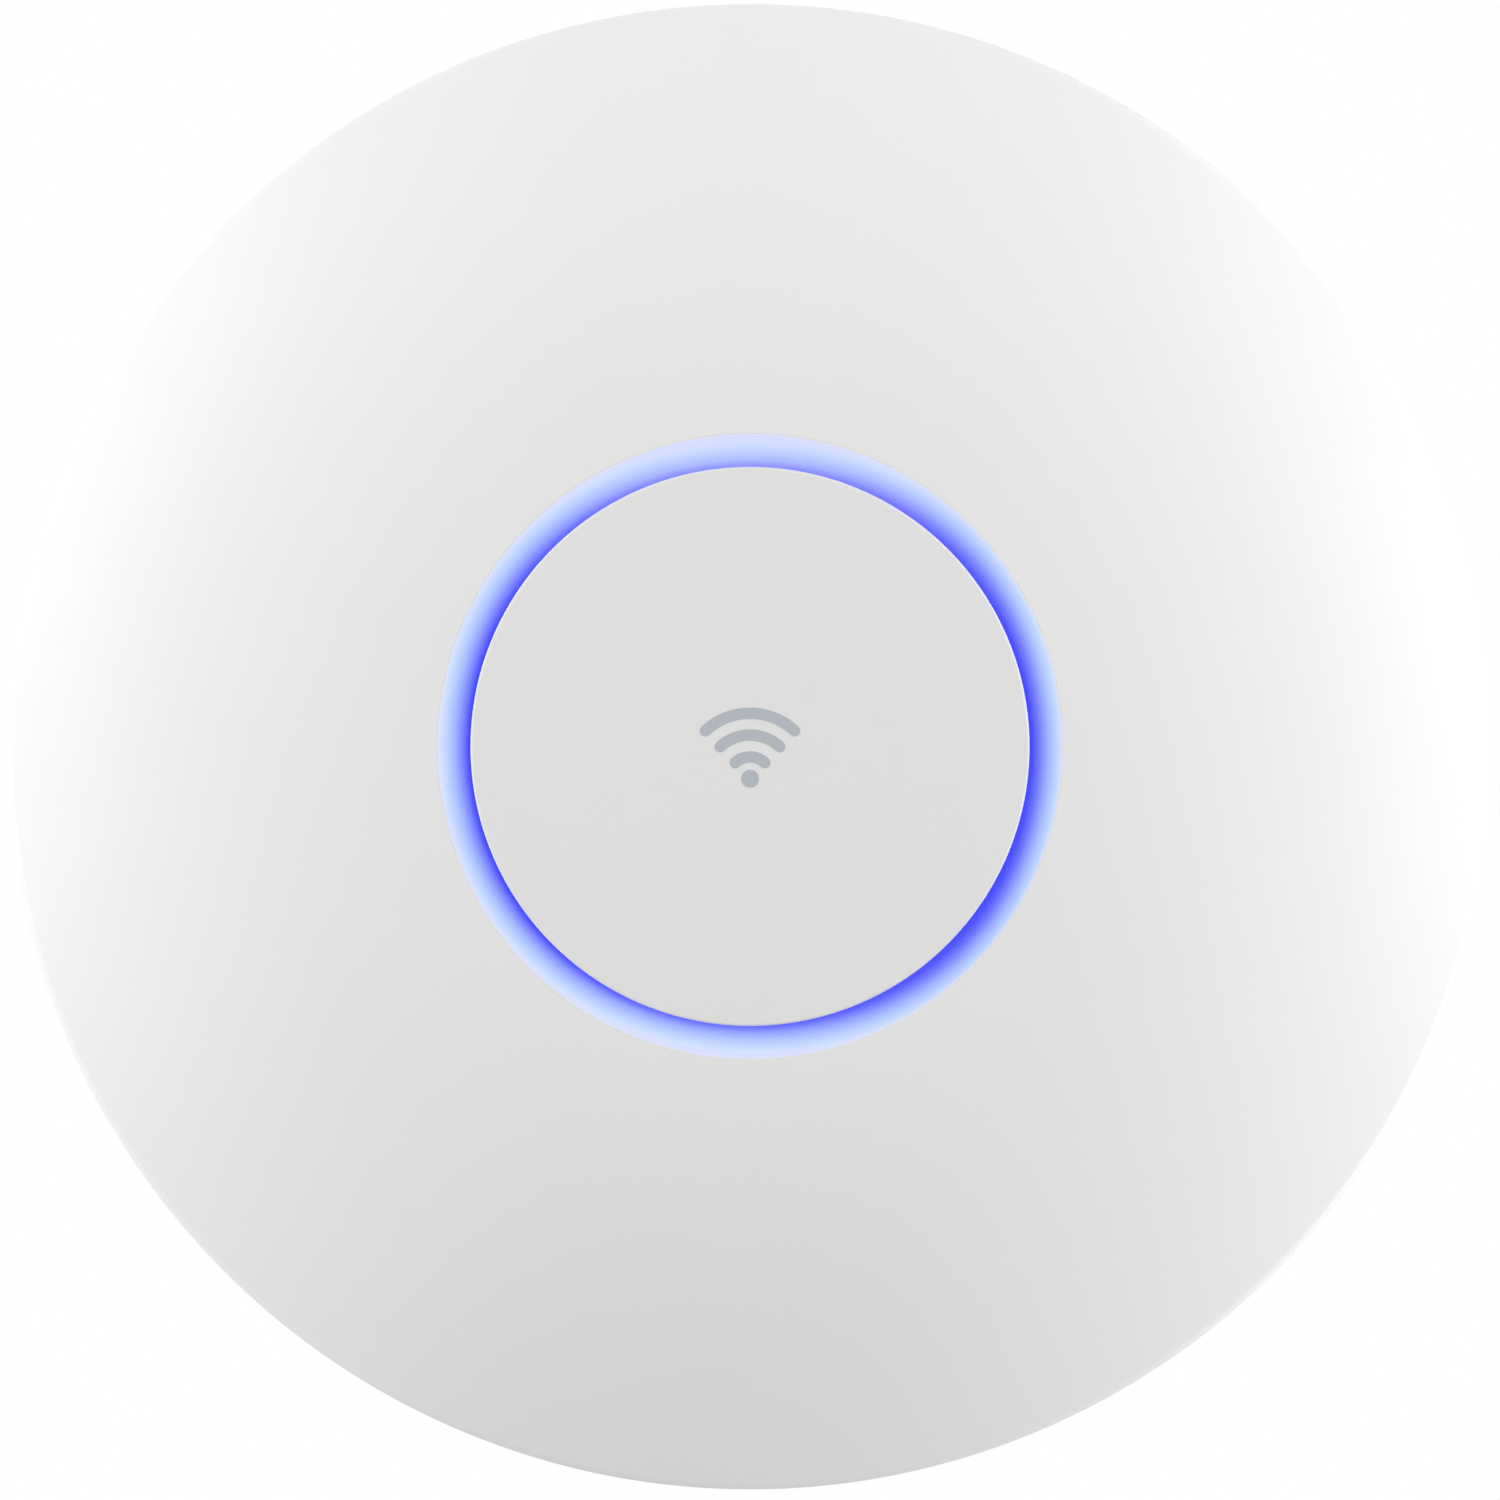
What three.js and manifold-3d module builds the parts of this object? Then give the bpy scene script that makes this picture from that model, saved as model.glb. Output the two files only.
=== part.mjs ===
// Ceiling access point: a shallow white dome with a light ring, a rear cover with a cable pocket,
// and a twist-lock bracket that screws to the ceiling. The electronics are inside.
//
// Millimetres. +Z is up, towards the ceiling, and the dome faces down. The origin is the centre
// of the bracket's ceiling face. +Y is the side where the cable leaves.
import * as THREE from "three";
import { mergeVertices } from "three/addons/utils/BufferGeometryUtils.js";
import Module from "manifold-3d";

const wasm = await Module();
wasm.setup();

// ---------------------------------------------------------------- driving dimensions

const RADIUS = 80; // widest radius, at the dome's rim
const HEIGHT = 33; // ceiling face to the lowest point of the dome
const WALL = 2; // moulded shells
const GAP = 0.3; // clearance between neighbouring pieces
const TOUCH = 0.05; // gap under a piece that is soldered or stuck down

const CAP_RADIUS = 29.5; // centre cap
const RING_RADIUS = 33; // outer edge of the light ring
const CAP_SLOPE = rad(3.5); // slope of the dome's face at the cap's edge
const RIM_SLOPE = rad(33); // slope of the face where the rim's rounding starts
const RIM_ROUND = 1.8; // radius of the rim's rounding

const REAR_RADIUS = 77.6; // rear cover, inside the dome's lip
const REAR_FLAT = 63; // outer radius of the flat ring that faces the ceiling
const REAR_TOP = -1.2; // that ring's level
const SEAM_TOP = -12.4; // where the rear cover leaves the dome's lip
const SEAM_FOOT = -13.3; // the rear cover's lowest edge, inside the lip
const RECESS_RADIUS = 56; // round recess that the bracket sits in
const RECESS_WALL = 3;
const RECESS_FLOOR = -7;
const FLOOR = 1.5; // thickness of the recess's floor

const BRACKET_RADIUS = 49.8;
const BRACKET_PLATE = 2;
const BRACKET_FOOT = -5.2; // lower edge of its skirt and tabs
const TAB_TOP = -3.5;
const TAB_REACH = 54.5;
const LUG_REACH = 50.4; // the rear cover's lugs reach in this far
const LUG_TOP = -1.6;
const LUG_FOOT = -3.2;
const BAYONET_ANGLES = [45, 135, 225, 315];
const BAYONET_HALF = 8; // half the angle that each tab and lug takes

const TWIST = 20; // degrees from locked to free
const LATCH_ANGLE = 270; // where its nose is
const LATCH_ROOT = 248.5; // where its arm bends
const LATCH_RADIUS = 48.8; // middle of the arm
const NOSE_TIP = 57.3;
const NOSE_HALF = 2;
const NOSE_CHAMFER = 0.9;

const BOARD_RADIUS = 54;
const BOARD_TOP = -20.3;
const BOARD_FOOT = -21.9;
const PILLAR_RADIUS = 46; // circle of the cover screws
const PILLAR_ANGLES = [30, 150, 210, 330];
const PILLAR_THICK = 3.5; // radius of the dome's screw pillars and of the rear cover's posts
const THREAD_RADIUS = 1; // every screw's shank
const SCREW_HOLE = 1.5; // clear holes around the board's screws
const BOARD_SCREW_RADIUS = 41;
const BOARD_SCREW_ANGLES = [57, 123, 237, 303];
const SPREADER_TOP = -12;
const SPREADER_FOOT = -13.5;
const CAN_TOP = -17.3;
const PEDESTAL_FOOT = -16.3;

const JACK_HALF = 7.9;
const JACK_BACK = 2;
const JACK_MOUTH = 22.7;
const JACK_TOP = -8.9;
const POCKET_HALF = 14;
const POCKET_START = 23;
const POCKET_END = RECESS_RADIUS - 0.4;
const POCKET_FLOOR = -18.3;
const TRAY_END = RECESS_RADIUS + 2; // outside of the tray's far wall
const NOTCH_HALF = 4.5; // cable notch through the rim
const NOTCH_FLOOR = -9;

const ROUND = 56; // sides of the large round pieces
const FINE = 16; // sides of screws and posts

// ---------------------------------------------------------------- helpers

function rad(degrees) {
  return (degrees * Math.PI) / 180;
}

function polar(r, degrees) {
  return [r * Math.cos(rad(degrees)), r * Math.sin(rad(degrees))];
}

// A three.js geometry as a manifold-3d solid, turned right side out.
function solid(geometry) {
  const plain = geometry.clone();
  for (const name of Object.keys(plain.attributes)) {
    if (name !== "position") plain.deleteAttribute(name);
  }
  const merged = mergeVertices(plain, 1e-4);
  const faces = [];
  for (let i = 0; i < merged.index.count; i += 3) {
    const [a, b, c] = [0, 1, 2].map((k) => merged.index.getX(i + k));
    if (a !== b && b !== c && a !== c) faces.push(a, b, c);
  }
  const build = (triVerts) =>
    new wasm.Manifold(
      new wasm.Mesh({
        numProp: 3,
        vertProperties: merged.attributes.position.array,
        triVerts: new Uint32Array(triVerts),
      }),
    );
  const made = build(faces);
  return made.volume() > 0 ? made : build(faces.reverse());
}

// A solid of revolution about Z from [radius, z] points. The outline closes on itself.
function lathe(outline, sides = ROUND) {
  const closed = [...outline, outline[0]].map(([r, z]) => new THREE.Vector2(r, z));
  return solid(new THREE.LatheGeometry(closed, sides).rotateX(Math.PI / 2));
}

function disc(radius, low, high, sides = ROUND) {
  return lathe([[0, low], [radius, low], [radius, high], [0, high]], sides);
}

function ring(inner, outer, low, high, sides = ROUND) {
  return lathe([[inner, low], [outer, low], [outer, high], [inner, high]], sides);
}

function box([x0, y0, z0], [x1, y1, z1]) {
  const geometry = new THREE.BoxGeometry(x1 - x0, y1 - y0, z1 - z0);
  return solid(geometry.translate((x0 + x1) / 2, (y0 + y1) / 2, (z0 + z1) / 2));
}

// A block standing on a centre point, length along X and width along Y.
function block([x, y], length, width, low, high) {
  return box([x - length / 2, y - width / 2, low], [x + length / 2, y + width / 2, high]);
}

function post([x, y], radius, low, high, sides = FINE) {
  const geometry = new THREE.CylinderGeometry(radius, radius, high - low, sides);
  return solid(geometry.rotateX(Math.PI / 2).translate(x, y, (low + high) / 2));
}

// A closed shape or list of [x, y] points, extruded from low to high.
function prism(outline, low, high, curveSegments = 5) {
  const shape = Array.isArray(outline)
    ? new THREE.Shape(outline.map(([x, y]) => new THREE.Vector2(x, y)))
    : outline;
  const settings = { depth: high - low, bevelEnabled: false, curveSegments };
  return solid(new THREE.ExtrudeGeometry(shape, settings).translate(0, 0, low));
}

// Part of a ring, between two angles in degrees.
function sector(inner, outer, from, to, low, high) {
  const steps = Math.max(2, Math.ceil((to - from) / 5));
  const angles = Array.from({ length: steps + 1 }, (_, i) => from + ((to - from) * i) / steps);
  const outside = angles.map((a) => polar(outer, a));
  const inside = angles.map((a) => polar(inner, a)).reverse();
  return prism([...outside, ...inside], low, high);
}

function roundedRectangle(x0, y0, x1, y1, r) {
  const shape = new THREE.Shape();
  shape.absarc(x1 - r, y1 - r, r, 0, Math.PI / 2);
  shape.absarc(x0 + r, y1 - r, r, Math.PI / 2, Math.PI);
  shape.absarc(x0 + r, y0 + r, r, Math.PI, 1.5 * Math.PI);
  shape.absarc(x1 - r, y0 + r, r, 1.5 * Math.PI, 2 * Math.PI);
  shape.closePath();
  return shape;
}

// A slot with round ends that follows a circle about the centre.
function arcSlot(radius, half, from, to) {
  const shape = new THREE.Shape();
  const [startX, startY] = polar(radius, from);
  const [endX, endY] = polar(radius, to);
  shape.absarc(0, 0, radius + half, rad(from), rad(to));
  shape.absarc(endX, endY, half, rad(to), rad(to + 180));
  shape.absarc(0, 0, radius - half, rad(to), rad(from), true);
  shape.absarc(startX, startY, half, rad(from + 180), rad(from + 360));
  shape.closePath();
  return shape;
}

// Points of a quadratic curve, its ends included.
function curve(start, control, end, steps) {
  const path = new THREE.QuadraticBezierCurve(
    new THREE.Vector2(...start),
    new THREE.Vector2(...control),
    new THREE.Vector2(...end),
  );
  return path.getPoints(steps).map((p) => [p.x, p.y]);
}

// A round rod along Y.
function rodAlongY([x, z], radius, from, to) {
  const geometry = new THREE.CylinderGeometry(radius, radius, to - from, FINE);
  return solid(geometry.translate(x, (from + to) / 2, z));
}

// A shape drawn in the YZ plane, extruded along X.
function prismAlongX(outline, from, to) {
  const shape = new THREE.Shape(outline.map(([y, z]) => new THREE.Vector2(y, z)));
  const geometry = new THREE.ExtrudeGeometry(shape, { depth: to - from, bevelEnabled: false });
  geometry.applyMatrix4(new THREE.Matrix4().set(0, 0, 1, from, 1, 0, 0, 0, 0, 1, 0, 0, 0, 0, 0, 1));
  return solid(geometry);
}

const join = (first, ...others) => others.reduce((all, next) => all.add(next), first);
const cut = (body, ...tools) => tools.reduce((left, tool) => left.subtract(tool), body);

const part = new THREE.Group();

// Adds a node. It is built about the origin or in place, then moved to `at` and turned about Z.
function add(name, body, look, { at = [0, 0], turn = 0 } = {}) {
  const { numProp, vertProperties, triVerts } = body.getMesh();
  const points = new Float32Array((vertProperties.length / numProp) * 3);
  for (let i = 0; i < points.length / 3; i++) {
    points.set(vertProperties.subarray(i * numProp, i * numProp + 3), i * 3);
  }
  const geometry = new THREE.BufferGeometry();
  geometry.setAttribute("position", new THREE.BufferAttribute(points, 3));
  geometry.setIndex(new THREE.BufferAttribute(triVerts, 1));
  geometry.computeVertexNormals();
  const mesh = new THREE.Mesh(geometry, new THREE.MeshStandardMaterial(look));
  mesh.name = name;
  mesh.position.set(at[0], at[1], 0);
  mesh.rotation.z = rad(turn);
  part.add(mesh);
}

// ---------------------------------------------------------------- materials

const paint = (color, roughness, metalness = 0, more = {}) => ({ color, roughness, metalness, ...more });

const whiteShell = paint(0xf1f1ef, 0.45);
const glow = paint(0xdfe8ff, 0.35, 0, { emissive: 0x4a55ff });
const clear = paint(0xeef4f8, 0.1, 0, { transparent: true, opacity: 0.5 });
const bracketWhite = paint(0xe6e7e5, 0.6);
const boardGreen = paint(0x14503a, 0.4);
const blackPlastic = paint(0x17181a, 0.55);
const tin = paint(0xc4c7c9, 0.32, 1);
const aluminium = paint(0xb4b7ba, 0.42, 1);
const gold = paint(0xd9ad55, 0.3, 1);
const brass = paint(0xc9b07a, 0.34, 1);
const padGrey = paint(0x8d9aa6, 0.9);
const screwSteel = paint(0x9fa3a6, 0.28, 1);
const labelPaper = paint(0xe9eaea, 0.7);
const ledWhite = paint(0xf3efdc, 0.4);

// ---------------------------------------------------------------- the dome's face

const RIM_START = RADIUS - RIM_ROUND * (1 - Math.sin(RIM_SLOPE));
const SLOPE_RATE = (RIM_SLOPE - CAP_SLOPE) / (RIM_START - CAP_RADIUS);

// Rise of a face whose slope angle grows evenly along the radius: the integral of its tangent.
function rise(fromSlope, toSlope, rate) {
  return (Math.log(Math.cos(fromSlope)) - Math.log(Math.cos(toSlope))) / rate;
}

function slopeAt(r) {
  return r < CAP_RADIUS ? (CAP_SLOPE * r) / CAP_RADIUS : CAP_SLOPE + SLOPE_RATE * (r - CAP_RADIUS);
}

// Level of the outer face at a radius.
function faceZ(r) {
  const nearCap = rise(0, slopeAt(Math.min(r, CAP_RADIUS)), CAP_SLOPE / CAP_RADIUS);
  const beyond = r > CAP_RADIUS ? rise(CAP_SLOPE, slopeAt(r), SLOPE_RATE) : 0;
  return -HEIGHT + nearCap + beyond;
}

const innerFaceZ = (r) => faceZ(r) + WALL / Math.cos(slopeAt(r));

function spaced(from, to, steps) {
  return Array.from({ length: steps + 1 }, (_, i) => from + ((to - from) * i) / steps);
}

const RIM_CENTRE = [RADIUS - RIM_ROUND, faceZ(RIM_START) + RIM_ROUND * Math.cos(RIM_SLOPE)];
const LIP_TURN = 130; // degrees that the rim's rounding ends at, past vertical
const LIP_TOP = RIM_CENTRE[1] - RIM_ROUND * Math.cos(rad(LIP_TURN));
const LIP_INSIDE = REAR_RADIUS + GAP;

// ---------------------------------------------------------------- front: dome, ring, cap

function frontCover() {
  const hole = RING_RADIUS + GAP;
  const face = spaced(hole, RIM_START, 8).map((r) => [r, faceZ(r)]);
  const rim = spaced(RIM_SLOPE, rad(LIP_TURN), 4)
    .slice(1)
    .map((t) => [RIM_CENTRE[0] + RIM_ROUND * Math.sin(t), RIM_CENTRE[1] - RIM_ROUND * Math.cos(t)]);
  const inside = spaced(LIP_INSIDE, hole, 7).map((r) => [r, innerFaceZ(r)]);
  let body = lathe([...face, ...rim, [LIP_INSIDE, LIP_TOP], ...inside]);
  const pillarTop = RECESS_FLOOR - FLOOR - GAP;
  const pillarRoot = faceZ(PILLAR_RADIUS) + WALL / 2 + 0.3;
  for (const angle of PILLAR_ANGLES) {
    const at = polar(PILLAR_RADIUS, angle);
    body = join(body, post(at, PILLAR_THICK, pillarRoot, pillarTop));
    body = cut(body, post(at, THREAD_RADIUS + GAP, -19.5, pillarTop + 1));
  }
  return body;
}

const LEDGE_FOOT = -30.6; // the light ring's ledge, which the cap rests over
const LEDGE_TOP = -29.2;
const LEDGE_INNER = CAP_RADIUS - 3.2;
const FLANGE_FOOT = -28.9; // the flange round the ring, behind the dome
const FLANGE_TOP = -27.9;
const FLANGE_RADIUS = RING_RADIUS + 4.5;
const RING_BACK = RING_RADIUS - 0.7; // inside of the ring's wall, around the light guide

function lightRing() {
  const bend = [CAP_RADIUS + 1.1, LEDGE_FOOT - 1.15];
  const cove = curve([CAP_RADIUS + GAP, LEDGE_FOOT], bend, [RING_RADIUS, faceZ(RING_RADIUS)], 5);
  return lathe([
    [LEDGE_INNER, LEDGE_FOOT],
    ...cove,
    [RING_RADIUS, FLANGE_FOOT],
    [FLANGE_RADIUS, FLANGE_FOOT],
    [FLANGE_RADIUS, FLANGE_TOP],
    [RING_BACK, FLANGE_TOP],
    [RING_BACK, LEDGE_TOP],
    [LEDGE_INNER, LEDGE_TOP],
  ]);
}

// Disc with three snap legs, whose barbs hook over the light ring's ledge.
function centreCap() {
  const underside = LEDGE_FOOT - GAP;
  const face = spaced(0, CAP_RADIUS, 5).map((r) => [r, faceZ(r)]);
  const [legInside, legOutside, barbOutside] = [LEDGE_INNER - 1.8, LEDGE_INNER - GAP, LEDGE_INNER + 0.9];
  const legHalf = 8;
  let body = lathe([...face, [CAP_RADIUS, underside], [0, underside]]);
  for (const angle of [90, 210, 330]) {
    const [from, to] = [angle - legHalf, angle + legHalf];
    const leg = sector(legInside, legOutside, from, to, underside - 0.5, FLANGE_TOP);
    const barb = sector(legInside, barbOutside, from, to, LEDGE_TOP + GAP, FLANGE_TOP);
    body = join(body, leg, barb);
  }
  return body;
}

// ---------------------------------------------------------------- light path

const LED_CIRCLE = CAP_RADIUS + 1;
const LED_ANGLES = spaced(22.5, 337.5, 7);
const CARRIER_TOP = BOARD_FOOT - GAP;
const CARRIER_WEB = 1.2;
const CARRIER_WALL = 1.3;
const GUIDE_TOP = CARRIER_TOP - 2;
const GUIDE_INNER = CAP_RADIUS - 0.4;
const GUIDE_OUTER = RING_BACK - GAP;

// Black channel that holds the light guide, with a window over each LED.
function lightCarrier() {
  const inside = GUIDE_INNER - GAP;
  const outside = RING_BACK + 0.1;
  let body = lathe(
    [
      [inside - CARRIER_WALL, CARRIER_TOP],
      [inside - CARRIER_WALL, FLANGE_FOOT],
      [inside, FLANGE_FOOT],
      [inside, CARRIER_TOP - CARRIER_WEB],
      [outside, CARRIER_TOP - CARRIER_WEB],
      [outside, FLANGE_TOP + GAP],
      [outside + CARRIER_WALL, FLANGE_TOP + GAP],
      [outside + CARRIER_WALL, CARRIER_TOP],
    ],
    48,
  );
  const windowHalf = 4.8;
  for (const angle of LED_ANGLES) {
    const [from, to] = [angle - windowHalf, angle + windowHalf];
    body = cut(body, sector(inside + 0.1, outside - 0.3, from, to, GUIDE_TOP, CARRIER_TOP + 1));
  }
  return body;
}

function lightGuide() {
  const chamfer = 0.6;
  return lathe(
    [
      [GUIDE_INNER, FLANGE_FOOT],
      [GUIDE_OUTER, FLANGE_FOOT],
      [GUIDE_OUTER, GUIDE_TOP - chamfer],
      [GUIDE_OUTER - chamfer, GUIDE_TOP],
      [GUIDE_INNER + chamfer, GUIDE_TOP],
      [GUIDE_INNER, GUIDE_TOP - chamfer],
    ],
    48,
  );
}

function statusLed() {
  return block([LED_CIRCLE, 0], 2.6, 3.4, BOARD_FOOT - TOUCH - 1.5, BOARD_FOOT - TOUCH);
}

// ---------------------------------------------------------------- rear cover

// The rear cover's outside, as one full solid. Pieces that end at its surface are cut from it.
function rearEnvelope(inset = 0) {
  const flank = curve(
    [REAR_RADIUS - inset, SEAM_TOP],
    [73.5 - inset, -4.6],
    [REAR_FLAT - inset, REAR_TOP - inset],
    7,
  );
  return lathe([[0, SEAM_FOOT], [REAR_RADIUS - inset, SEAM_FOOT], ...flank, [0, REAR_TOP - inset]]);
}

function rearInside() {
  const flank = curve(
    [REAR_RADIUS - WALL, SEAM_TOP + 0.3],
    [71.9, -6.2],
    [REAR_FLAT - 1.4, REAR_TOP - WALL],
    6,
  );
  const recessOutside = RECESS_RADIUS + RECESS_WALL;
  const under = RECESS_FLOOR - FLOOR;
  return lathe([
    [0, SEAM_FOOT - 1],
    [REAR_RADIUS - WALL, SEAM_FOOT - 1],
    ...flank,
    [recessOutside, REAR_TOP - WALL],
    [recessOutside, under],
    [0, under],
  ]);
}

const RESET_AT = [14.5, 10];
const BUTTON_RADIUS = 1;
const RELEASE_HOLE = { z: -4.3, radius: 0.9 }; // a pin goes in here and pushes the latch's nose

// Cam notch in the recess wall for the latch's nose: deepest where it locks, then a long ramp.
function latchNotch() {
  const depth = NOSE_TIP + 0.4;
  const side = 2.8; // degrees from the nose's middle to the notch's straight side
  const reach = TWIST + 3; // and to the end of the ramp
  const ramp = spaced(0, 1, 8).map((share) =>
    polar(depth + (RECESS_RADIUS - 0.1 - depth) * share, LATCH_ANGLE + side + (reach - side) * share),
  );
  const mouth = spaced(reach, -side, 3).map((a) => polar(RECESS_RADIUS - 1.5, LATCH_ANGLE + a));
  return prism([polar(depth, LATCH_ANGLE - side), ...ramp, ...mouth], BRACKET_FOOT - 0.2, LUG_FOOT - 0.1);
}

// The space in the cable pocket, open at the top. Its far end follows the recess's wall.
function pocketSpace() {
  const straight = box([-POCKET_HALF, POCKET_START, POCKET_FLOOR], [POCKET_HALF, 70, 1]);
  return straight.intersect(disc(POCKET_END, POCKET_FLOOR - 1, 2));
}

// Shell with the bracket's recess in the middle, and a channel through its rim for the cable.
function rearCover() {
  const under = RECESS_FLOOR - FLOOR;
  const withinShell = rearEnvelope(0.6);
  const trough = box(
    [-NOTCH_HALF - FLOOR, TRAY_END + GAP, NOTCH_FLOOR - FLOOR],
    [NOTCH_HALF + FLOOR, RADIUS, REAR_TOP],
  );
  let body = cut(rearEnvelope(), rearInside(), disc(RECESS_RADIUS, RECESS_FLOOR, 1));
  body = cut(join(body, trough.intersect(withinShell)), pocketSpace());
  body = cut(body, box([-NOTCH_HALF, POCKET_START + 5, NOTCH_FLOOR], [NOTCH_HALF, RADIUS + 5, 1]));

  for (const angle of BAYONET_ANGLES) {
    const from = angle - BAYONET_HALF;
    const to = angle + BAYONET_HALF;
    body = join(body, sector(LUG_REACH, RECESS_RADIUS + 1, from, to, LUG_FOOT, LUG_TOP));
  }

  const pinAxis = [0, RELEASE_HOLE.z];
  const pinTube = rodAlongY(pinAxis, 2.6, -REAR_RADIUS, -RECESS_RADIUS - 1).intersect(withinShell);
  const pinHole = rodAlongY(pinAxis, RELEASE_HOLE.radius, -RADIUS, -RECESS_RADIUS);
  body = cut(join(body, pinTube), latchNotch(), pinHole);

  for (const angle of PILLAR_ANGLES) {
    body = cut(body, post(polar(PILLAR_RADIUS, angle), THREAD_RADIUS + 0.4, under - 1, 0));
  }
  for (const angle of BOARD_SCREW_ANGLES) {
    const at = polar(BOARD_SCREW_RADIUS, angle);
    body = join(body, post(at, PILLAR_THICK, SPREADER_TOP + GAP, under + 0.2));
    body = cut(body, post(at, SCREW_HOLE, SPREADER_TOP - 1, under + 0.3));
  }

  const [guideOutside, guideInside, pinHoleRadius] = [3, 2.1, 1.1]; // around the reset button
  body = join(body, post(RESET_AT, guideOutside, SPREADER_TOP + GAP, under + 0.2));
  body = cut(body, post(RESET_AT, guideInside, SPREADER_TOP, under));
  body = cut(body, post(RESET_AT, pinHoleRadius, under - 1, 0, 12));
  return cut(body, ...ventSlots(under));
}

// Two rows of vent slots through the recess's floor, each a start point and a slot length along Y.
function ventSlots(under) {
  const [pitch, width, steps] = [4.4, 1.8, 5];
  const rows = [
    { x: 20, y: -12, length: 20 },
    { x: (-steps * pitch - width) / 2, y: -44, length: 18 },
  ];
  return rows.flatMap(({ x, y, length }) =>
    spaced(x, x + steps * pitch, steps).map((left) =>
      box([left, y, under - 1], [left + width, y + length, 0]),
    ),
  );
}

// Moulded tray under the recess's floor, which makes the cable pocket. The jack's mouth is in its
// end wall, and an ear on each side is staked to the floor above.
function cableTray() {
  const [foot, top] = [POCKET_FLOOR - FLOOR, RECESS_FLOOR - FLOOR - GAP];
  const half = POCKET_HALF + FLOOR;
  const block = box([-half, POCKET_START - FLOOR, foot], [half, 70, top]);
  const outside = block.intersect(disc(TRAY_END, foot, top));
  const ears = [-half - 3, half - 0.5].map((x) => box([x, 27, top - 1.2], [x + 3.5, 49, top]));
  const window = box(
    [-JACK_HALF - GAP, POCKET_START - FLOOR - 1, foot - 1],
    [JACK_HALF + GAP, POCKET_START + 0.1, top + 1],
  );
  return cut(join(outside, ...ears), pocketSpace(), window);
}

const COVER_START = 61; // inner end of the cable cover

function cableCover() {
  const half = NOTCH_HALF - GAP;
  const foot = NOTCH_FLOOR + GAP;
  const wall = 1.4;
  const plug = box([-half, COVER_START, foot], [half, RADIUS + 5, REAR_TOP - 0.1]);
  const hollow = box([wall - half, COVER_START - 1, foot + wall], [half - wall, RADIUS, REAR_TOP - 1.5]);
  return cut(plug.intersect(rearEnvelope()), hollow.intersect(rearEnvelope(1.6)));
}

// ---------------------------------------------------------------- bracket and latch

const SKIRT = 2;
const CABLE_OPENING = [-12, 25, 12, 45];
const LATCH_FOOT = BRACKET_FOOT + 0.1;
const LATCH_PIVOT = polar(LATCH_RADIUS, LATCH_ROOT);
const RIVET_RADIUS = 1.2;

function mountingBracket() {
  const underPlate = -BRACKET_PLATE + 0.1;
  let body = join(
    disc(BRACKET_RADIUS, -BRACKET_PLATE, 0),
    ring(BRACKET_RADIUS - SKIRT, BRACKET_RADIUS, BRACKET_FOOT, underPlate),
    ring(20.5, 22, -4, underPlate, 32),
  );
  for (const angle of BAYONET_ANGLES) {
    const [from, to] = [angle - BAYONET_HALF, angle + BAYONET_HALF];
    body = join(body, sector(BRACKET_RADIUS - SKIRT / 2, TAB_REACH, from, to, BRACKET_FOOT, TAB_TOP));
  }

  // The skirt gives way to the latch, whose eye turns on a rivet.
  const [gapFrom, gapTo] = [LATCH_ROOT - 4.5, LATCH_ANGLE + 5];
  const latchGap = sector(46, 51, gapFrom, gapTo, BRACKET_FOOT - 1, -BRACKET_PLATE);
  body = join(cut(body, latchGap), post(LATCH_PIVOT, RIVET_RADIUS, LATCH_FOOT, underPlate));

  const through = (shape) => prism(shape, -BRACKET_PLATE - 5, 1);
  const screwSlots = [0, 180, 270].map((angle) => through(arcSlot(33, 2.1, angle - 12, angle + 12)));
  const airSlots = [
    [18, 62],
    [118, 162],
    [200, 238],
    [302, 340],
  ].map(([from, to]) => through(arcSlot(42.5, 1.8, from, to)));
  return cut(body, through(roundedRectangle(...CABLE_OPENING, 4)), ...screwSlots, ...airSlots);
}

function releaseLatch() {
  const top = -BRACKET_PLATE - GAP;
  const armHalf = 0.6;
  const [armInside, armOutside] = [LATCH_RADIUS - armHalf, LATCH_RADIUS + armHalf];
  const arm = sector(armInside, armOutside, LATCH_ROOT, LATCH_ANGLE + 2.4, LATCH_FOOT, top);
  const nose = prism(
    [
      [-NOSE_HALF, -LATCH_RADIUS],
      [-NOSE_HALF, NOSE_CHAMFER - NOSE_TIP],
      [NOSE_CHAMFER - NOSE_HALF, -NOSE_TIP],
      [NOSE_HALF - NOSE_CHAMFER, -NOSE_TIP],
      [NOSE_HALF, NOSE_CHAMFER - NOSE_TIP],
      [NOSE_HALF, -LATCH_RADIUS],
    ],
    LATCH_FOOT,
    TAB_TOP,
  );
  const eye = post(LATCH_PIVOT, 2.4, LATCH_FOOT, top);
  return cut(join(arm, eye, nose), post(LATCH_PIVOT, RIVET_RADIUS + GAP, LATCH_FOOT - 1, top + 1));
}

function ratingLabel() {
  const foot = RECESS_FLOOR + TOUCH;
  return prism(roundedRectangle(-40, -17, -18, 13, 2), foot, foot + 0.3);
}

// ---------------------------------------------------------------- board and what stands on it

const ON_BOARD = BOARD_TOP + TOUCH;

function mainBoard() {
  const drill = (at, radius, sides) => post(at, radius, BOARD_FOOT - 1, BOARD_TOP + 1, sides);
  const pillarHoles = PILLAR_ANGLES.map((a) => drill(polar(PILLAR_RADIUS, a), PILLAR_THICK + 0.4));
  const screwHoles = BOARD_SCREW_ANGLES.map((a) => drill(polar(BOARD_SCREW_RADIUS, a), SCREW_HOLE, 12));
  return cut(disc(BOARD_RADIUS, BOARD_FOOT, BOARD_TOP), ...pillarHoles, ...screwHoles);
}

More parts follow.
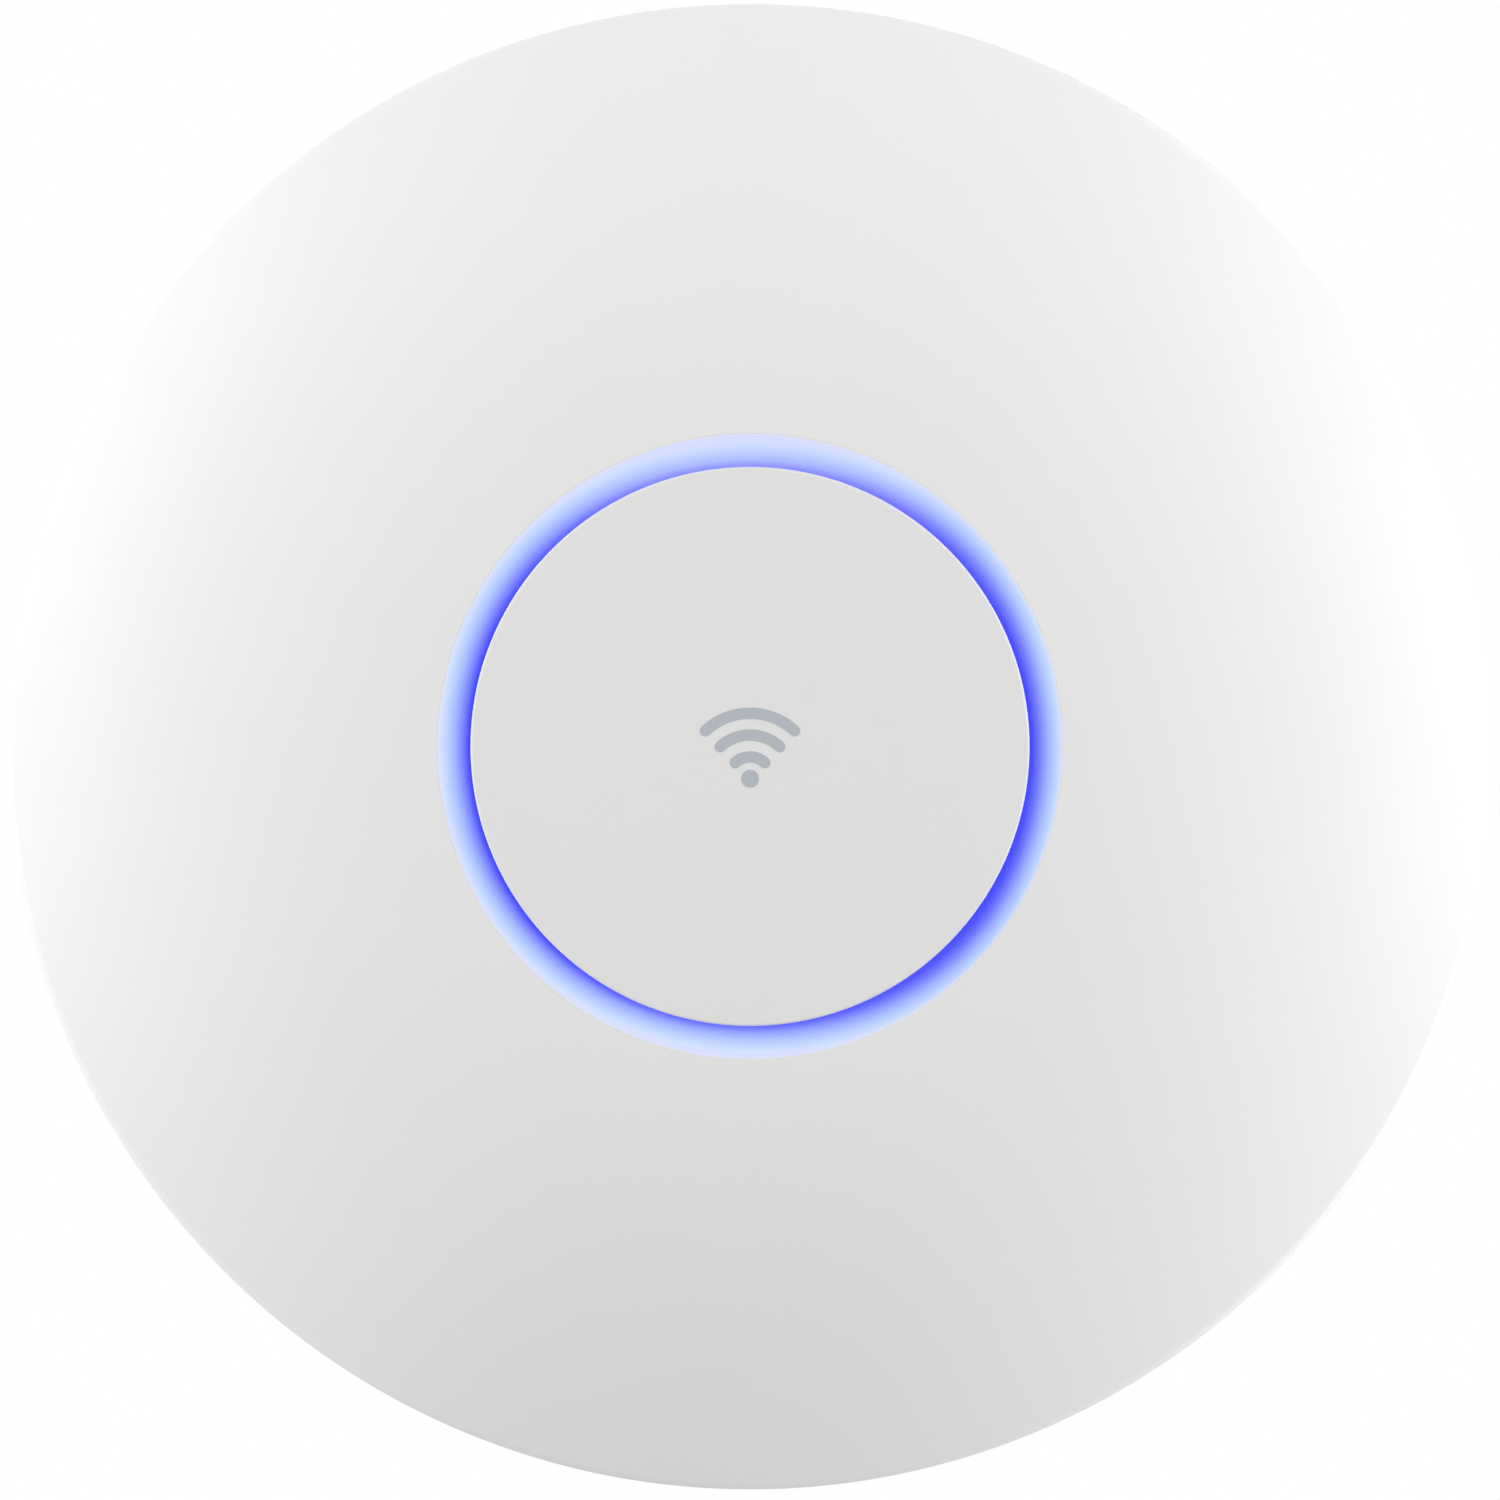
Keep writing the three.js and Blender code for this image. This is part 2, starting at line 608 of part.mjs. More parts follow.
const CANS = {
  processor: { at: [0, -20], size: [30, 22] },
  left_radio: { at: [-32, 2], size: [20, 24] },
  right_radio: { at: [32, 2], size: [20, 24] },
};
const CAN_SHEET = 0.4;

function shieldCan({ at, size }) {
  const [innerLength, innerWidth] = size.map((side) => side - 2 * CAN_SHEET);
  const inside = block(at, innerLength, innerWidth, ON_BOARD - 1, CAN_TOP - CAN_SHEET);
  return cut(block(at, ...size, ON_BOARD, CAN_TOP), inside);
}

function chip({ at, size: [length, width] }) {
  return block(at, length * 0.5, width * 0.55, ON_BOARD, ON_BOARD + 1.5);
}

function thermalPad({ at, size: [length, width] }) {
  return block(at, length - 8, width - 8, CAN_TOP + TOUCH, PEDESTAL_FOOT - TOUCH);
}

// Pressed aluminium plate over the board. Its pressed-down pedestals meet the cans' pads, its
// tubes stand on the board, and the board screws run through them.
function heatSpreader() {
  const sheet = SPREADER_TOP - SPREADER_FOOT;
  const walls = 2 * sheet;
  const [below, above] = [SPREADER_FOOT - 1, SPREADER_TOP + 1];
  const tray = POCKET_HALF + FLOOR + GAP;
  const jack = JACK_HALF + 0.4;
  let body = cut(
    disc(48, SPREADER_FOOT, SPREADER_TOP),
    box([-tray, POCKET_START - FLOOR - GAP, below], [tray, 60, above]),
    box([-jack, JACK_BACK - 0.4, below], [jack, 30, above]),
    post(RESET_AT, BUTTON_RADIUS + GAP, below, above, 12),
    ...PILLAR_ANGLES.map((a) => post(polar(PILLAR_RADIUS, a), PILLAR_THICK + 0.7, below, above)),
  );
  for (const { at, size } of Object.values(CANS)) {
    const [length, width] = size.map((side) => side - 6);
    body = join(body, block(at, length, width, PEDESTAL_FOOT, SPREADER_TOP));
    body = cut(body, block(at, length - walls, width - walls, PEDESTAL_FOOT + sheet, above));
  }
  for (const angle of BOARD_SCREW_ANGLES) {
    const at = polar(BOARD_SCREW_RADIUS, angle);
    body = join(body, post(at, 2 * SCREW_HOLE, BOARD_TOP + GAP, SPREADER_TOP));
    body = cut(body, post(at, SCREW_HOLE, BOARD_TOP - 1, above, 12));
  }
  return body;
}

// Stamped antenna under the board: a slotted plate on a feed leg and a shorting leg.
function antenna(half) {
  const [inner, outer] = [41, 50];
  const [foot, top] = [-25.4, -24.9];
  const [legThick, legWide] = [0.6, 1.8];
  const leg = (x, y) => box([x, y, foot], [x + legThick, y + legWide, BOARD_FOOT - TOUCH]);
  const plate = box([inner, -half, foot], [outer, half, top]);
  const slot = box([inner + 3.2, 3 - half, foot - 1], [inner + 4.8, half + 1, top + 1]);
  const legs = [leg(inner, -half), leg(inner, 2 * legWide - half), leg(outer - legThick, half - 3)];
  return cut(join(plate, ...legs), slot);
}

// ---------------------------------------------------------------- ethernet jack

const SHIELD_SHEET = 0.35;
const PLUG_HALF = 5.95;
const PLUG_FLOOR = -18;
const PLUG_ROOF = -11.3;
const LEVER_HALF = 3.1; // channel for the plug's lever

function jackShield() {
  const outside = box([-JACK_HALF, JACK_BACK, ON_BOARD], [JACK_HALF, JACK_MOUTH, JACK_TOP]);
  const half = JACK_HALF - SHIELD_SHEET;
  const inside = box([-half, JACK_BACK + SHIELD_SHEET, ON_BOARD - 1], [half, 30, JACK_TOP - SHIELD_SHEET]);
  return cut(outside, inside);
}

// The plug goes in along -Y with its lever towards the ceiling.
function jackHousing() {
  const half = JACK_HALF - SHIELD_SHEET - GAP;
  const back = JACK_BACK + SHIELD_SHEET + GAP;
  const roof = JACK_TOP - SHIELD_SHEET - GAP;
  const [plugEnd, leverEnd] = [back + 1.4, back + 6];
  return cut(
    box([-half, back, ON_BOARD], [half, JACK_MOUTH - GAP, roof]),
    box([-PLUG_HALF, plugEnd, PLUG_FLOOR], [PLUG_HALF, 30, PLUG_ROOF]),
    box([-LEVER_HALF, leverEnd, PLUG_ROOF - 1], [LEVER_HALF, 30, roof + 1]),
  );
}

// Eight slanting spring wires on a carrier bar.
function jackContacts() {
  const [back, front] = [5.4, 14.6];
  const [pitch, wireHalf] = [1.02, 0.24];
  const wire = [
    [back, -15.9],
    [front, -17.6],
    [front, -17.2],
    [back, -15.4],
  ];
  let body = box([-5.2, back - 0.9, -17.5], [5.2, back + 0.2, -15]);
  for (const x of spaced(-3.5 * pitch, 3.5 * pitch, 7)) {
    body = join(body, prismAlongX(wire, x - wireHalf, x + wireHalf));
  }
  return body;
}

// ---------------------------------------------------------------- reset switch and button

const PLUNGER_FOOT = -18.2;
const PLUNGER_TOP = -16.5;
const PLUNGER_RADIUS = 1.6;

function resetSwitch() {
  const housing = block(RESET_AT, 6, 6, ON_BOARD, PLUNGER_TOP - 0.9);
  return cut(housing, post(RESET_AT, PLUNGER_RADIUS + GAP, PLUNGER_FOOT - 0.7, PLUNGER_TOP));
}

function resetPlunger() {
  return post([0, 0], PLUNGER_RADIUS, PLUNGER_FOOT, PLUNGER_TOP, 12);
}

// Loose pin over the switch, captive between the rear cover's floor and the heat spreader.
function resetButton() {
  const [foot, shoulder, top] = [PLUNGER_TOP + GAP, -10.3, -9];
  const collar = 1.7;
  return lathe(
    [
      [0, foot],
      [BUTTON_RADIUS, foot],
      [BUTTON_RADIUS, shoulder],
      [collar, shoulder],
      [collar, top],
      [0, top],
    ],
    12,
  );
}

// ---------------------------------------------------------------- fasteners

// Cross-recessed screw on the axis. Its head spans two levels, with the drive's side first.
function screw(driveLevel, seatLevel, tipLevel) {
  const sorted = (a, b) => [Math.min(a, b), Math.max(a, b)];
  const depth = (seatLevel - driveLevel) * 0.6;
  const [low, high] = sorted(driveLevel - depth * 0.2, driveLevel + depth);
  const [crossLength, crossWidth] = [2.8, 0.7];
  const head = post([0, 0], 2.5, ...sorted(driveLevel, seatLevel));
  const shank = post([0, 0], THREAD_RADIUS, ...sorted(driveLevel, tipLevel), 12);
  return cut(
    join(head, shank),
    block([0, 0], crossLength, crossWidth, low, high),
    block([0, 0], crossWidth, crossLength, low, high),
  );
}

// ---------------------------------------------------------------- assembly

add("mounting_bracket", mountingBracket(), bracketWhite);
add("release_latch", releaseLatch(), screwSteel);

add("rear_cover", rearCover(), bracketWhite);
add("cable_tray", cableTray(), bracketWhite);
add("cable_cover", cableCover(), bracketWhite);
add("rating_label", ratingLabel(), labelPaper);
add("front_cover", frontCover(), whiteShell);
add("light_ring", lightRing(), glow);
add("centre_cap", centreCap(), whiteShell);

add("light_carrier", lightCarrier(), blackPlastic);
add("light_guide", lightGuide(), clear);
LED_ANGLES.forEach((turn, i) => add(`status_led_${i + 1}`, statusLed(), ledWhite, { turn }));

add("main_board", mainBoard(), boardGreen);
add("heat_spreader", heatSpreader(), aluminium);
for (const [name, can] of Object.entries(CANS)) {
  add(`${name}_shield`, shieldCan(can), tin);
  add(`${name}_chip`, chip(can), blackPlastic);
  add(`${name}_pad`, thermalPad(can), padGrey);
}

add("jack_shield", jackShield(), tin);
add("jack_housing", jackHousing(), blackPlastic);
add("jack_contacts", jackContacts(), gold);
add("lan_transformer", block([0, -3.2], 16, 9, ON_BOARD, ON_BOARD + 5), blackPlastic);
add("power_transformer", block([-24, 22], 12, 12, ON_BOARD, ON_BOARD + 6.2), blackPlastic);
add("power_inductor", block([-14.5, 10], 11.5, 11.5, ON_BOARD, ON_BOARD + 5.4), padGrey);
[21.5, 29.5].forEach((x, i) =>
  add(`capacitor_${i + 1}`, post([x, 22], 3.15, ON_BOARD, ON_BOARD + 5.8), aluminium),
);

const ANTENNAS = { 0: 9.5, 90: 6, 180: 9.5, 270: 6 }; // half length by angle
Object.entries(ANTENNAS).forEach(([angle, half], i) =>
  add(`antenna_${i + 1}`, antenna(half), brass, { turn: Number(angle) }),
);

add("reset_switch", resetSwitch(), blackPlastic);
add("reset_plunger", resetPlunger(), blackPlastic, { at: RESET_AT });
add("reset_button", resetButton(), bracketWhite, { at: RESET_AT });

const HEAD = 1.35;
const coverScrew = () => screw(RECESS_FLOOR + TOUCH + HEAD, RECESS_FLOOR + TOUCH, -17);
const boardScrew = () => screw(BOARD_FOOT - TOUCH - HEAD, BOARD_FOOT - TOUCH, -9.2);
PILLAR_ANGLES.forEach((angle, i) =>
  add(`cover_screw_${i + 1}`, coverScrew(), screwSteel, { at: polar(PILLAR_RADIUS, angle) }),
);
BOARD_SCREW_ANGLES.forEach((angle, i) =>
  add(`board_screw_${i + 1}`, boardScrew(), screwSteel, { at: polar(BOARD_SCREW_RADIUS, angle) }),
);

export default part;
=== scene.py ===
"""Looks of the ceiling access point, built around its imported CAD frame.

Outlines are written in millimetres, and the mesh helpers turn them into the frame's metres.
+Z is the ceiling side, the dome faces -Z, and +Y is the side where the cable leaves.
"""
import math

import bmesh
import bpy
from mathutils import Matrix, Vector


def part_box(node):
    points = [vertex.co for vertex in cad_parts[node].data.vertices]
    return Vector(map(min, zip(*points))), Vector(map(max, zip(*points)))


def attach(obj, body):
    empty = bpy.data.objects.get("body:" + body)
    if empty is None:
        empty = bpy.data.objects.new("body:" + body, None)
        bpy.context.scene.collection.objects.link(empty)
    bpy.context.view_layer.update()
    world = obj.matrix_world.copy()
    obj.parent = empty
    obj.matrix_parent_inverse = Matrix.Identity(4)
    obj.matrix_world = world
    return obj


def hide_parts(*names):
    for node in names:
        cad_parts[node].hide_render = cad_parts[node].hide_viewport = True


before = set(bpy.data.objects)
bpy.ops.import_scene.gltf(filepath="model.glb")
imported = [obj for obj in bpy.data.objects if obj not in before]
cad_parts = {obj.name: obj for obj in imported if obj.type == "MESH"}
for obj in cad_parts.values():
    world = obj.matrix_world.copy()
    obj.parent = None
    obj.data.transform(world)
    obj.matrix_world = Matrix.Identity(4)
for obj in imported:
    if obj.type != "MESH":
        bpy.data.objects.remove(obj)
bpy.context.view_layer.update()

MM = 0.001
SCENE = bpy.context.scene


def extent(node, axis):
    """The lowest and highest place of a CAD node along X, Y or Z (0, 1, 2), in millimetres."""
    return [corner[axis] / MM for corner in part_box(node)]


# ---- camera and stage

RADIUS = 80.0  # the dome's widest radius
LENS = 200.0
SENSOR = 36.0
DISC_SHARE = 743 / 750  # of half the picture's width
DISC_LIFT = 3.5 / 743 * RADIUS  # how far the disc sits above the picture's middle
RIM_LEVEL = -14.0  # where the disc is widest
CAMERA_DISTANCE = RADIUS / DISC_SHARE / (SENSOR / 2 / LENS)
FLOOR_LEVEL = -2.4  # metres, under the camera
FLOOR_HALF = 40.0  # metres


def make_camera():
    """Looks straight up at the dome, with -Y up in the picture and +X to the right."""
    data = bpy.data.cameras.new("camera")
    data.lens = LENS
    data.sensor_width = SENSOR
    data.clip_start = 0.01
    data.clip_end = 60
    camera = bpy.data.objects.new("camera", data)
    camera.location = Vector((0, DISC_LIFT, RIM_LEVEL - CAMERA_DISTANCE)) * MM
    camera.rotation_euler = (math.pi, 0, 0)
    SCENE.collection.objects.link(camera)
    SCENE.camera = camera


def make_floor():
    mesh = bpy.data.meshes.new("floor")
    sides = ((-1, -1), (1, -1), (1, 1), (-1, 1))
    corners = [(x * FLOOR_HALF, y * FLOOR_HALF, FLOOR_LEVEL) for x, y in sides]
    mesh.from_pydata(corners, [], [(0, 1, 2, 3)])
    mesh.materials.append(Look("floor", (0.87, 0.87, 0.87), 0.9).material)
    floor = bpy.data.objects.new("floor", mesh)
    SCENE.collection.objects.link(floor)


LIGHT_DISTANCE = 1.45  # metres
LIGHT_SIZE = 1.0
# Direction in the picture in degrees from the right and up, angle over the part's horizon, and watts.
# The four low ones shape the dome, and the other two light the ceiling side.
LIGHTS = {
    "light_right": (0, -12, 10.3),
    "light_right_top": (30, -12, 7.3),
    "light_left_top": (150, -12, 8.7),
    "light_left": (180, -12, 8.1),
    "light_ceiling_side": (330, 20, 3.5),
    "light_ceiling_top": (120, 72, 6),
}
WORLD_STRENGTH = 0.655


def make_lights():
    """Large soft lights that face the part."""
    for name, (turn, lift, power) in LIGHTS.items():
        data = bpy.data.lights.new(name, "AREA")
        data.shape = "RECTANGLE"
        data.size = data.size_y = LIGHT_SIZE
        data.energy = power
        light = bpy.data.objects.new(name, data)
        t, e = math.radians(turn), math.radians(lift)
        direction = Vector((math.cos(t) * math.cos(e), -math.sin(t) * math.cos(e), math.sin(e)))
        light.location = direction * LIGHT_DISTANCE
        light.rotation_euler = (-direction).to_track_quat("-Z", "Y").to_euler()
        SCENE.collection.objects.link(light)


def make_world():
    """White studio surroundings. The backdrop seen directly is white overhead and pale grey around."""
    world = bpy.data.worlds.new("studio")
    world.use_nodes = True
    nodes, links = world.node_tree.nodes, world.node_tree.links
    nodes.clear()
    kinds = "OutputWorld MixShader LightPath Background Background TexCoord SeparateXYZ MapRange".split()
    out, mix, path, lighting, seen, place, split, shade = (nodes.new("ShaderNode" + kind) for kind in kinds)
    for background in (lighting, seen):
        background.inputs["Color"].default_value = (1, 1, 1, 1)
    lighting.inputs["Strength"].default_value = WORLD_STRENGTH
    for socket, value in (("From Min", 0.2), ("From Max", 0.9), ("To Min", 0.8), ("To Max", 1.0)):
        shade.inputs[socket].default_value = value
    links.new(place.outputs["Generated"], split.inputs[0])
    links.new(split.outputs["Z"], shade.inputs["Value"])
    links.new(shade.outputs[0], seen.inputs["Strength"])
    links.new(path.outputs["Is Camera Ray"], mix.inputs[0])
    links.new(lighting.outputs[0], mix.inputs[1])
    links.new(seen.outputs[0], mix.inputs[2])
    links.new(mix.outputs[0], out.inputs[0])
    SCENE.world = world
    SCENE.view_settings.view_transform = "Standard"


# ---- mesh helpers

SHARP_ANGLE = math.radians(30)
NEARLY_STRAIGHT = math.radians(87)  # half of a corner's angle, past which it isn't rounded


def link(name, mesh, node, slot, look=None, body="housing"):
    """Puts a finished mesh in the scene as a piece that rides on a body.

    It stands for a CAD node, unless that is None, and has its slot's look or another.
    """
    piece = bpy.data.objects.new(name, mesh)
    SCENE.collection.objects.link(piece)
    mesh.materials.clear()
    mesh.materials.append(LOOKS[look or slot])
    mesh.polygons.foreach_set("use_smooth", [True] * len(mesh.polygons))
    mesh.set_sharp_from_angle(angle=SHARP_ANGLE)
    piece.modifiers.new("normals", "WEIGHTED_NORMAL").keep_sharp = True
    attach(piece, body)
    if node:
        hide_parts(node)


def rounded(points, radius=0.0, steps=4):
    """An outline with each corner rounded. A point may carry its own radius as a third number."""
    out = []
    for i, point in enumerate(points):
        p = Vector(point[:2])
        a = Vector(points[i - 1][:2]) - p
        b = Vector(points[(i + 1) % len(points)][:2]) - p
        want = point[2] if len(point) > 2 else radius
        half = a.angle(b) / 2 if want else math.pi / 2
        if half > NEARLY_STRAIGHT:
            out.append(tuple(p))
            continue
        reach = min(want / math.tan(half), 0.45 * a.length, 0.45 * b.length)
        r = reach * math.tan(half)
        a.normalize()
        b.normalize()
        centre = p + (a + b).normalized() * (r / math.sin(half))
        start, end = p + a * reach - centre, p + b * reach - centre
        turn = start.angle_signed(end)
        out += [tuple(centre + Matrix.Rotation(-turn * k / steps, 2) @ start) for k in range(steps + 1)]
    return out


def skin(rings, closed=False):
    """A solid through rings of [x, y, z] points in millimetres, with end faces unless its rings close.

    A ring whose points all lie in one place becomes one vertex.
    """
    bm = bmesh.new()
    loops = []
    for ring in rings:
        pole = ring[0] == ring[1]
        made = [bm.verts.new([c * MM for c in point]) for point in (ring[:1] if pole else ring)]
        loops.append(made * len(ring) if pole else made)
    for here, there in zip(loops, loops[1:] + loops[:1] if closed else loops[1:]):
        for k in range(len(here)):
            n = (k + 1) % len(here)
            corners = list(dict.fromkeys((here[k], here[n], there[n], there[k])))
            if len(corners) > 2:
                bm.faces.new(corners)
    if not closed:
        bm.faces.new(loops[0][::-1])
        bm.faces.new(loops[-1])
    bmesh.ops.recalc_face_normals(bm, faces=bm.faces)
    mesh = bpy.data.meshes.new("skin")
    bm.to_mesh(mesh)
    bm.free()
    return mesh


def revolve(outline, sides=256):
    """A solid of revolution about Z from [radius, z] points."""
    turns = [2 * math.pi * k / sides for k in range(sides)]
    return skin([[(r * math.cos(t), r * math.sin(t), z) for t in turns] for r, z in outline], closed=True)


def spaced(start, end, steps):
    return [start + (end - start) * i / steps for i in range(steps + 1)]


# ---- the dome's face

HEIGHT = 33.0
CAP_RADIUS = 29.5
RING_RADIUS = 33.0
CAP_SLOPE = math.radians(3.5)
RIM_SLOPE = math.radians(33)
RIM_ROUND = 1.8
WALL = 2.0
RIM_START = RADIUS - RIM_ROUND * (1 - math.sin(RIM_SLOPE))
SLOPE_RATE = (RIM_SLOPE - CAP_SLOPE) / (RIM_START - CAP_RADIUS)


def rise(from_slope, to_slope, rate):
    """Rise of a face whose slope angle grows evenly along the radius."""
    return (math.log(math.cos(from_slope)) - math.log(math.cos(to_slope))) / rate


def slope_at(r):
    return CAP_SLOPE * r / CAP_RADIUS if r < CAP_RADIUS else CAP_SLOPE + SLOPE_RATE * (r - CAP_RADIUS)


def face_z(r):
    near_cap = rise(0, slope_at(min(r, CAP_RADIUS)), CAP_SLOPE / CAP_RADIUS)
    beyond = rise(CAP_SLOPE, slope_at(r), SLOPE_RATE) if r > CAP_RADIUS else 0
    return -HEIGHT + near_cap + beyond


def inner_face_z(r):
    return face_z(r) + WALL / math.cos(slope_at(r))


# ---- materials


class Look:
    """A Principled material with a few procedural helpers. Scales are in repeats per metre."""

    def __init__(self, name, colour, roughness, metallic=0.0):
        self.material = bpy.data.materials.new(name)
        self.material.use_nodes = True
        self.material.diffuse_color = (*colour, 1)
        self.tree = self.material.node_tree
        self.shader = self.tree.nodes["Principled BSDF"]
        self.colour = colour
        self.set(Roughness=roughness, Metallic=metallic, Base_Color=(*colour, 1))
        self.place = self.tree.nodes.new("ShaderNodeTexCoord").outputs["Object"]
        self.height = None

    def set(self, **values):
        """Sets or links the shader's sockets, named with _ in place of a space."""
        for key, value in values.items():
            self.feed(self.shader.inputs[key.replace("_", " ")], value)

    def node(self, kind, **inputs):
        made = self.tree.nodes.new("ShaderNode" + kind)
        for key, value in inputs.items():
            self.feed(made.inputs[key.replace("_", " ")], value)
        return made

    def feed(self, socket, value):
        if isinstance(value, bpy.types.NodeSocket):
            self.tree.links.new(value, socket)
        else:
            socket.default_value = value

    def math(self, operation, *values):
        made = self.node("Math")
        made.operation = operation
        for socket, value in zip(made.inputs, values):
            self.feed(socket, value)
        return made.outputs[0]

    def across(self):
        """X and Y of the point."""
        split = self.node("SeparateXYZ", Vector=self.place)
        return split.outputs["X"], split.outputs["Y"]

    def length(self, x, y):
        return self.math("SQRT", self.math("ADD", self.math("MULTIPLY", x, x), self.math("MULTIPLY", y, y)))

    def mapped(self, value, clamp=True, **limits):
        made = self.node("MapRange", Value=value, **limits)
        made.clamp = clamp
        return made.outputs[0]

    def noise(self, scale, detail=2.0, stretch=(1, 1, 1)):
        mapping = self.node("Mapping", Vector=self.place, Scale=stretch)
        return self.node("TexNoise", Vector=mapping.outputs[0], Scale=scale, Detail=detail).outputs["Fac"]

    def ramp(self, factor, *stops):
        """A colour ramp of (position, colour) stops."""
        made = self.node("ValToRGB", Fac=factor)
        elements = made.color_ramp.elements
        while len(elements) < len(stops):
            elements.new(0.5)
        for element, (position, colour) in zip(elements, stops):
            element.position = position
            element.color = (*colour, 1)
        return made.outputs[0]

    def blend(self, factor, first, second):
        """One colour that gives way to another."""
        made = self.node("Mix", Factor=factor)
        made.data_type = "RGBA"
        self.feed(made.inputs[6], first)
        self.feed(made.inputs[7], second)
        return made.outputs[2]

    def mottle(self, factor, low, high):
        """Base colour that varies between two shares of the plain colour."""
        dark, light = (tuple(c * share for c in self.colour) for share in (low, high))
        self.set(Base_Color=self.ramp(factor, (0.3, dark), (0.7, light)))

    def gloss(self, factor, low, high):
        """Roughness that varies between two values."""
        self.set(Roughness=self.mapped(factor, From_Min=0.3, From_Max=0.7, To_Min=low, To_Max=high))

    def bump(self, factor, depth):
        """Fine relief, with its depth in millimetres. Several calls stack."""
        made = self.node("Bump", Height=factor, Strength=1.0, Distance=depth * MM)
        if self.height:
            self.feed(made.inputs["Normal"], self.height)
        self.height = made.outputs[0]
        self.set(Normal=self.height)


def moulded(name, colour, roughness, grain, depth, spread):
    """Moulded plastic: fine spark-eroded grain, faint flow clouds and slightly uneven gloss."""
    look = Look(name, colour, roughness)
    look.set(Specular_IOR_Level=0.42)
    look.mottle(look.noise(22, 3), 1 - spread / 2, 1 + spread / 2)
    look.gloss(look.noise(160, 4), roughness - 0.05, roughness + 0.05)
    look.bump(look.noise(1 / (grain * MM), 2), depth)
    return look.material


def rolled_metal(name, colour, roughness, stretch):
    """Bare or plated metal: fine drawn lines, soft stains and scuffed gloss."""
    look = Look(name, colour, roughness, 1.0)
    look.mottle(look.noise(90, 4), 0.93, 1.04)
    look.gloss(look.noise(600, 4), roughness - 0.05, roughness + 0.07)
    look.bump(look.noise(900, 3, stretch), 0.003)
    return look.material


# Position and colour of the ring's glow, from the cap outwards.
RING_COLOURS = (
    (0.04, (0.05, 0.055, 0.87)),
    (0.13, (0.07, 0.085, 0.90)),
    (0.22, (0.115, 0.14, 0.91)),
    (0.30, (0.175, 0.22, 0.925)),
    (0.43, (0.29, 0.38, 0.93)),
    (0.565, (0.41, 0.535, 0.935)),
    (0.70, (0.53, 0.655, 0.935)),
    (0.78, (0.615, 0.70, 0.91)),
    (0.96, (0.665, 0.695, 0.90)),
)
# How far the glow shifts outwards round the ring: the wave, its turns in a circle and its height.
RING_WAVES = (
    ("COSINE", 1, -0.086),
    ("SINE", 1, 0.03),
    ("COSINE", 2, -0.113),
    ("SINE", 2, 0.032),
    ("COSINE", 3, 0.034),
    ("COSINE", 4, 0.06),
)
# Painted ambient light: the lavender that the ring's top and bottom wash towards.
PAINTED_AMBIENT_LAVENDER = (0.59, 0.62, 0.9, 1)
# Painted lamp light: the ring's outermost edge glows in the lit white of the dome.
PAINTED_LIT_RIM = (0.71, 0.72, 0.78, 1)


def make_ring_glow():
    """Diffuser lit from behind: deep blue along the cap, then pale blue, then near white at the dome, its
    very edge painted in the dome's lit white.

    The LEDs light some stretches more than others. The deep blue reaches out furthest on the right,
    and top and bottom are the palest, washed towards lavender by painted ambient light.
    """
    look = Look("ring_diffuser", (0.04, 0.045, 0.09), 0.4)
    x, y = look.across()
    inner, outer = (CAP_RADIUS + 0.1) * MM, RING_RADIUS * MM
    share = look.mapped(look.length(x, y), False, From_Min=inner, From_Max=outer)
    angle = look.math("ARCTAN2", look.math("MULTIPLY", y, -1.0), x)
    edge = look.mapped(share, From_Max=0.2, To_Min=-0.12, To_Max=0.0)
    shifted = look.math("ADD", look.math("ADD", share, 0.055), edge)
    for kind, turns, height in RING_WAVES:
        wave = look.math(kind, look.math("MULTIPLY", angle, float(turns)))
        shifted = look.math("ADD", shifted, look.math("MULTIPLY", wave, height))
    blue = look.ramp(look.mapped(shifted, From_Min=-0.1, From_Max=1.27), *RING_COLOURS)
    # Painted ambient light: the glow washes towards lavender at top and bottom.
    up = look.math("SINE", angle)
    even, odd = (look.math("POWER", up, power) for power in (4.0, 3.0))
    painted_ambient_wash = look.math("ADD", look.math("MULTIPLY", even, 0.22), look.math("MULTIPLY", odd, 0.11))
    glow = look.blend(painted_ambient_wash, blue, PAINTED_AMBIENT_LAVENDER)
    # Painted lamp light: the outermost edge of the ring takes the dome's lit white.
    glow = look.blend(look.mapped(share, From_Min=0.93), glow, PAINTED_LIT_RIM)
    look.set(Emission_Color=glow, Emission_Strength=1.0, Specular_IOR_Level=0.3)
    look.bump(look.noise(2500, 2), 0.004)
    return look.material


def make_clear():
    """Clear moulded acrylic with a faint haze."""
    look = Look("clear_plastic", (0.95, 0.97, 1.0), 0.08)
    look.set(Transmission_Weight=0.85, IOR=1.49)
    look.gloss(look.noise(400, 3), 0.05, 0.14)
    look.bump(look.noise(300, 2), 0.004)
    return look.material


TRACE_PITCH = 0.9
TRACE_RUN = 7.0
BLOCK = 13.0  # a stretch of board where the traces all run one way
VIA_PITCH = 2.3


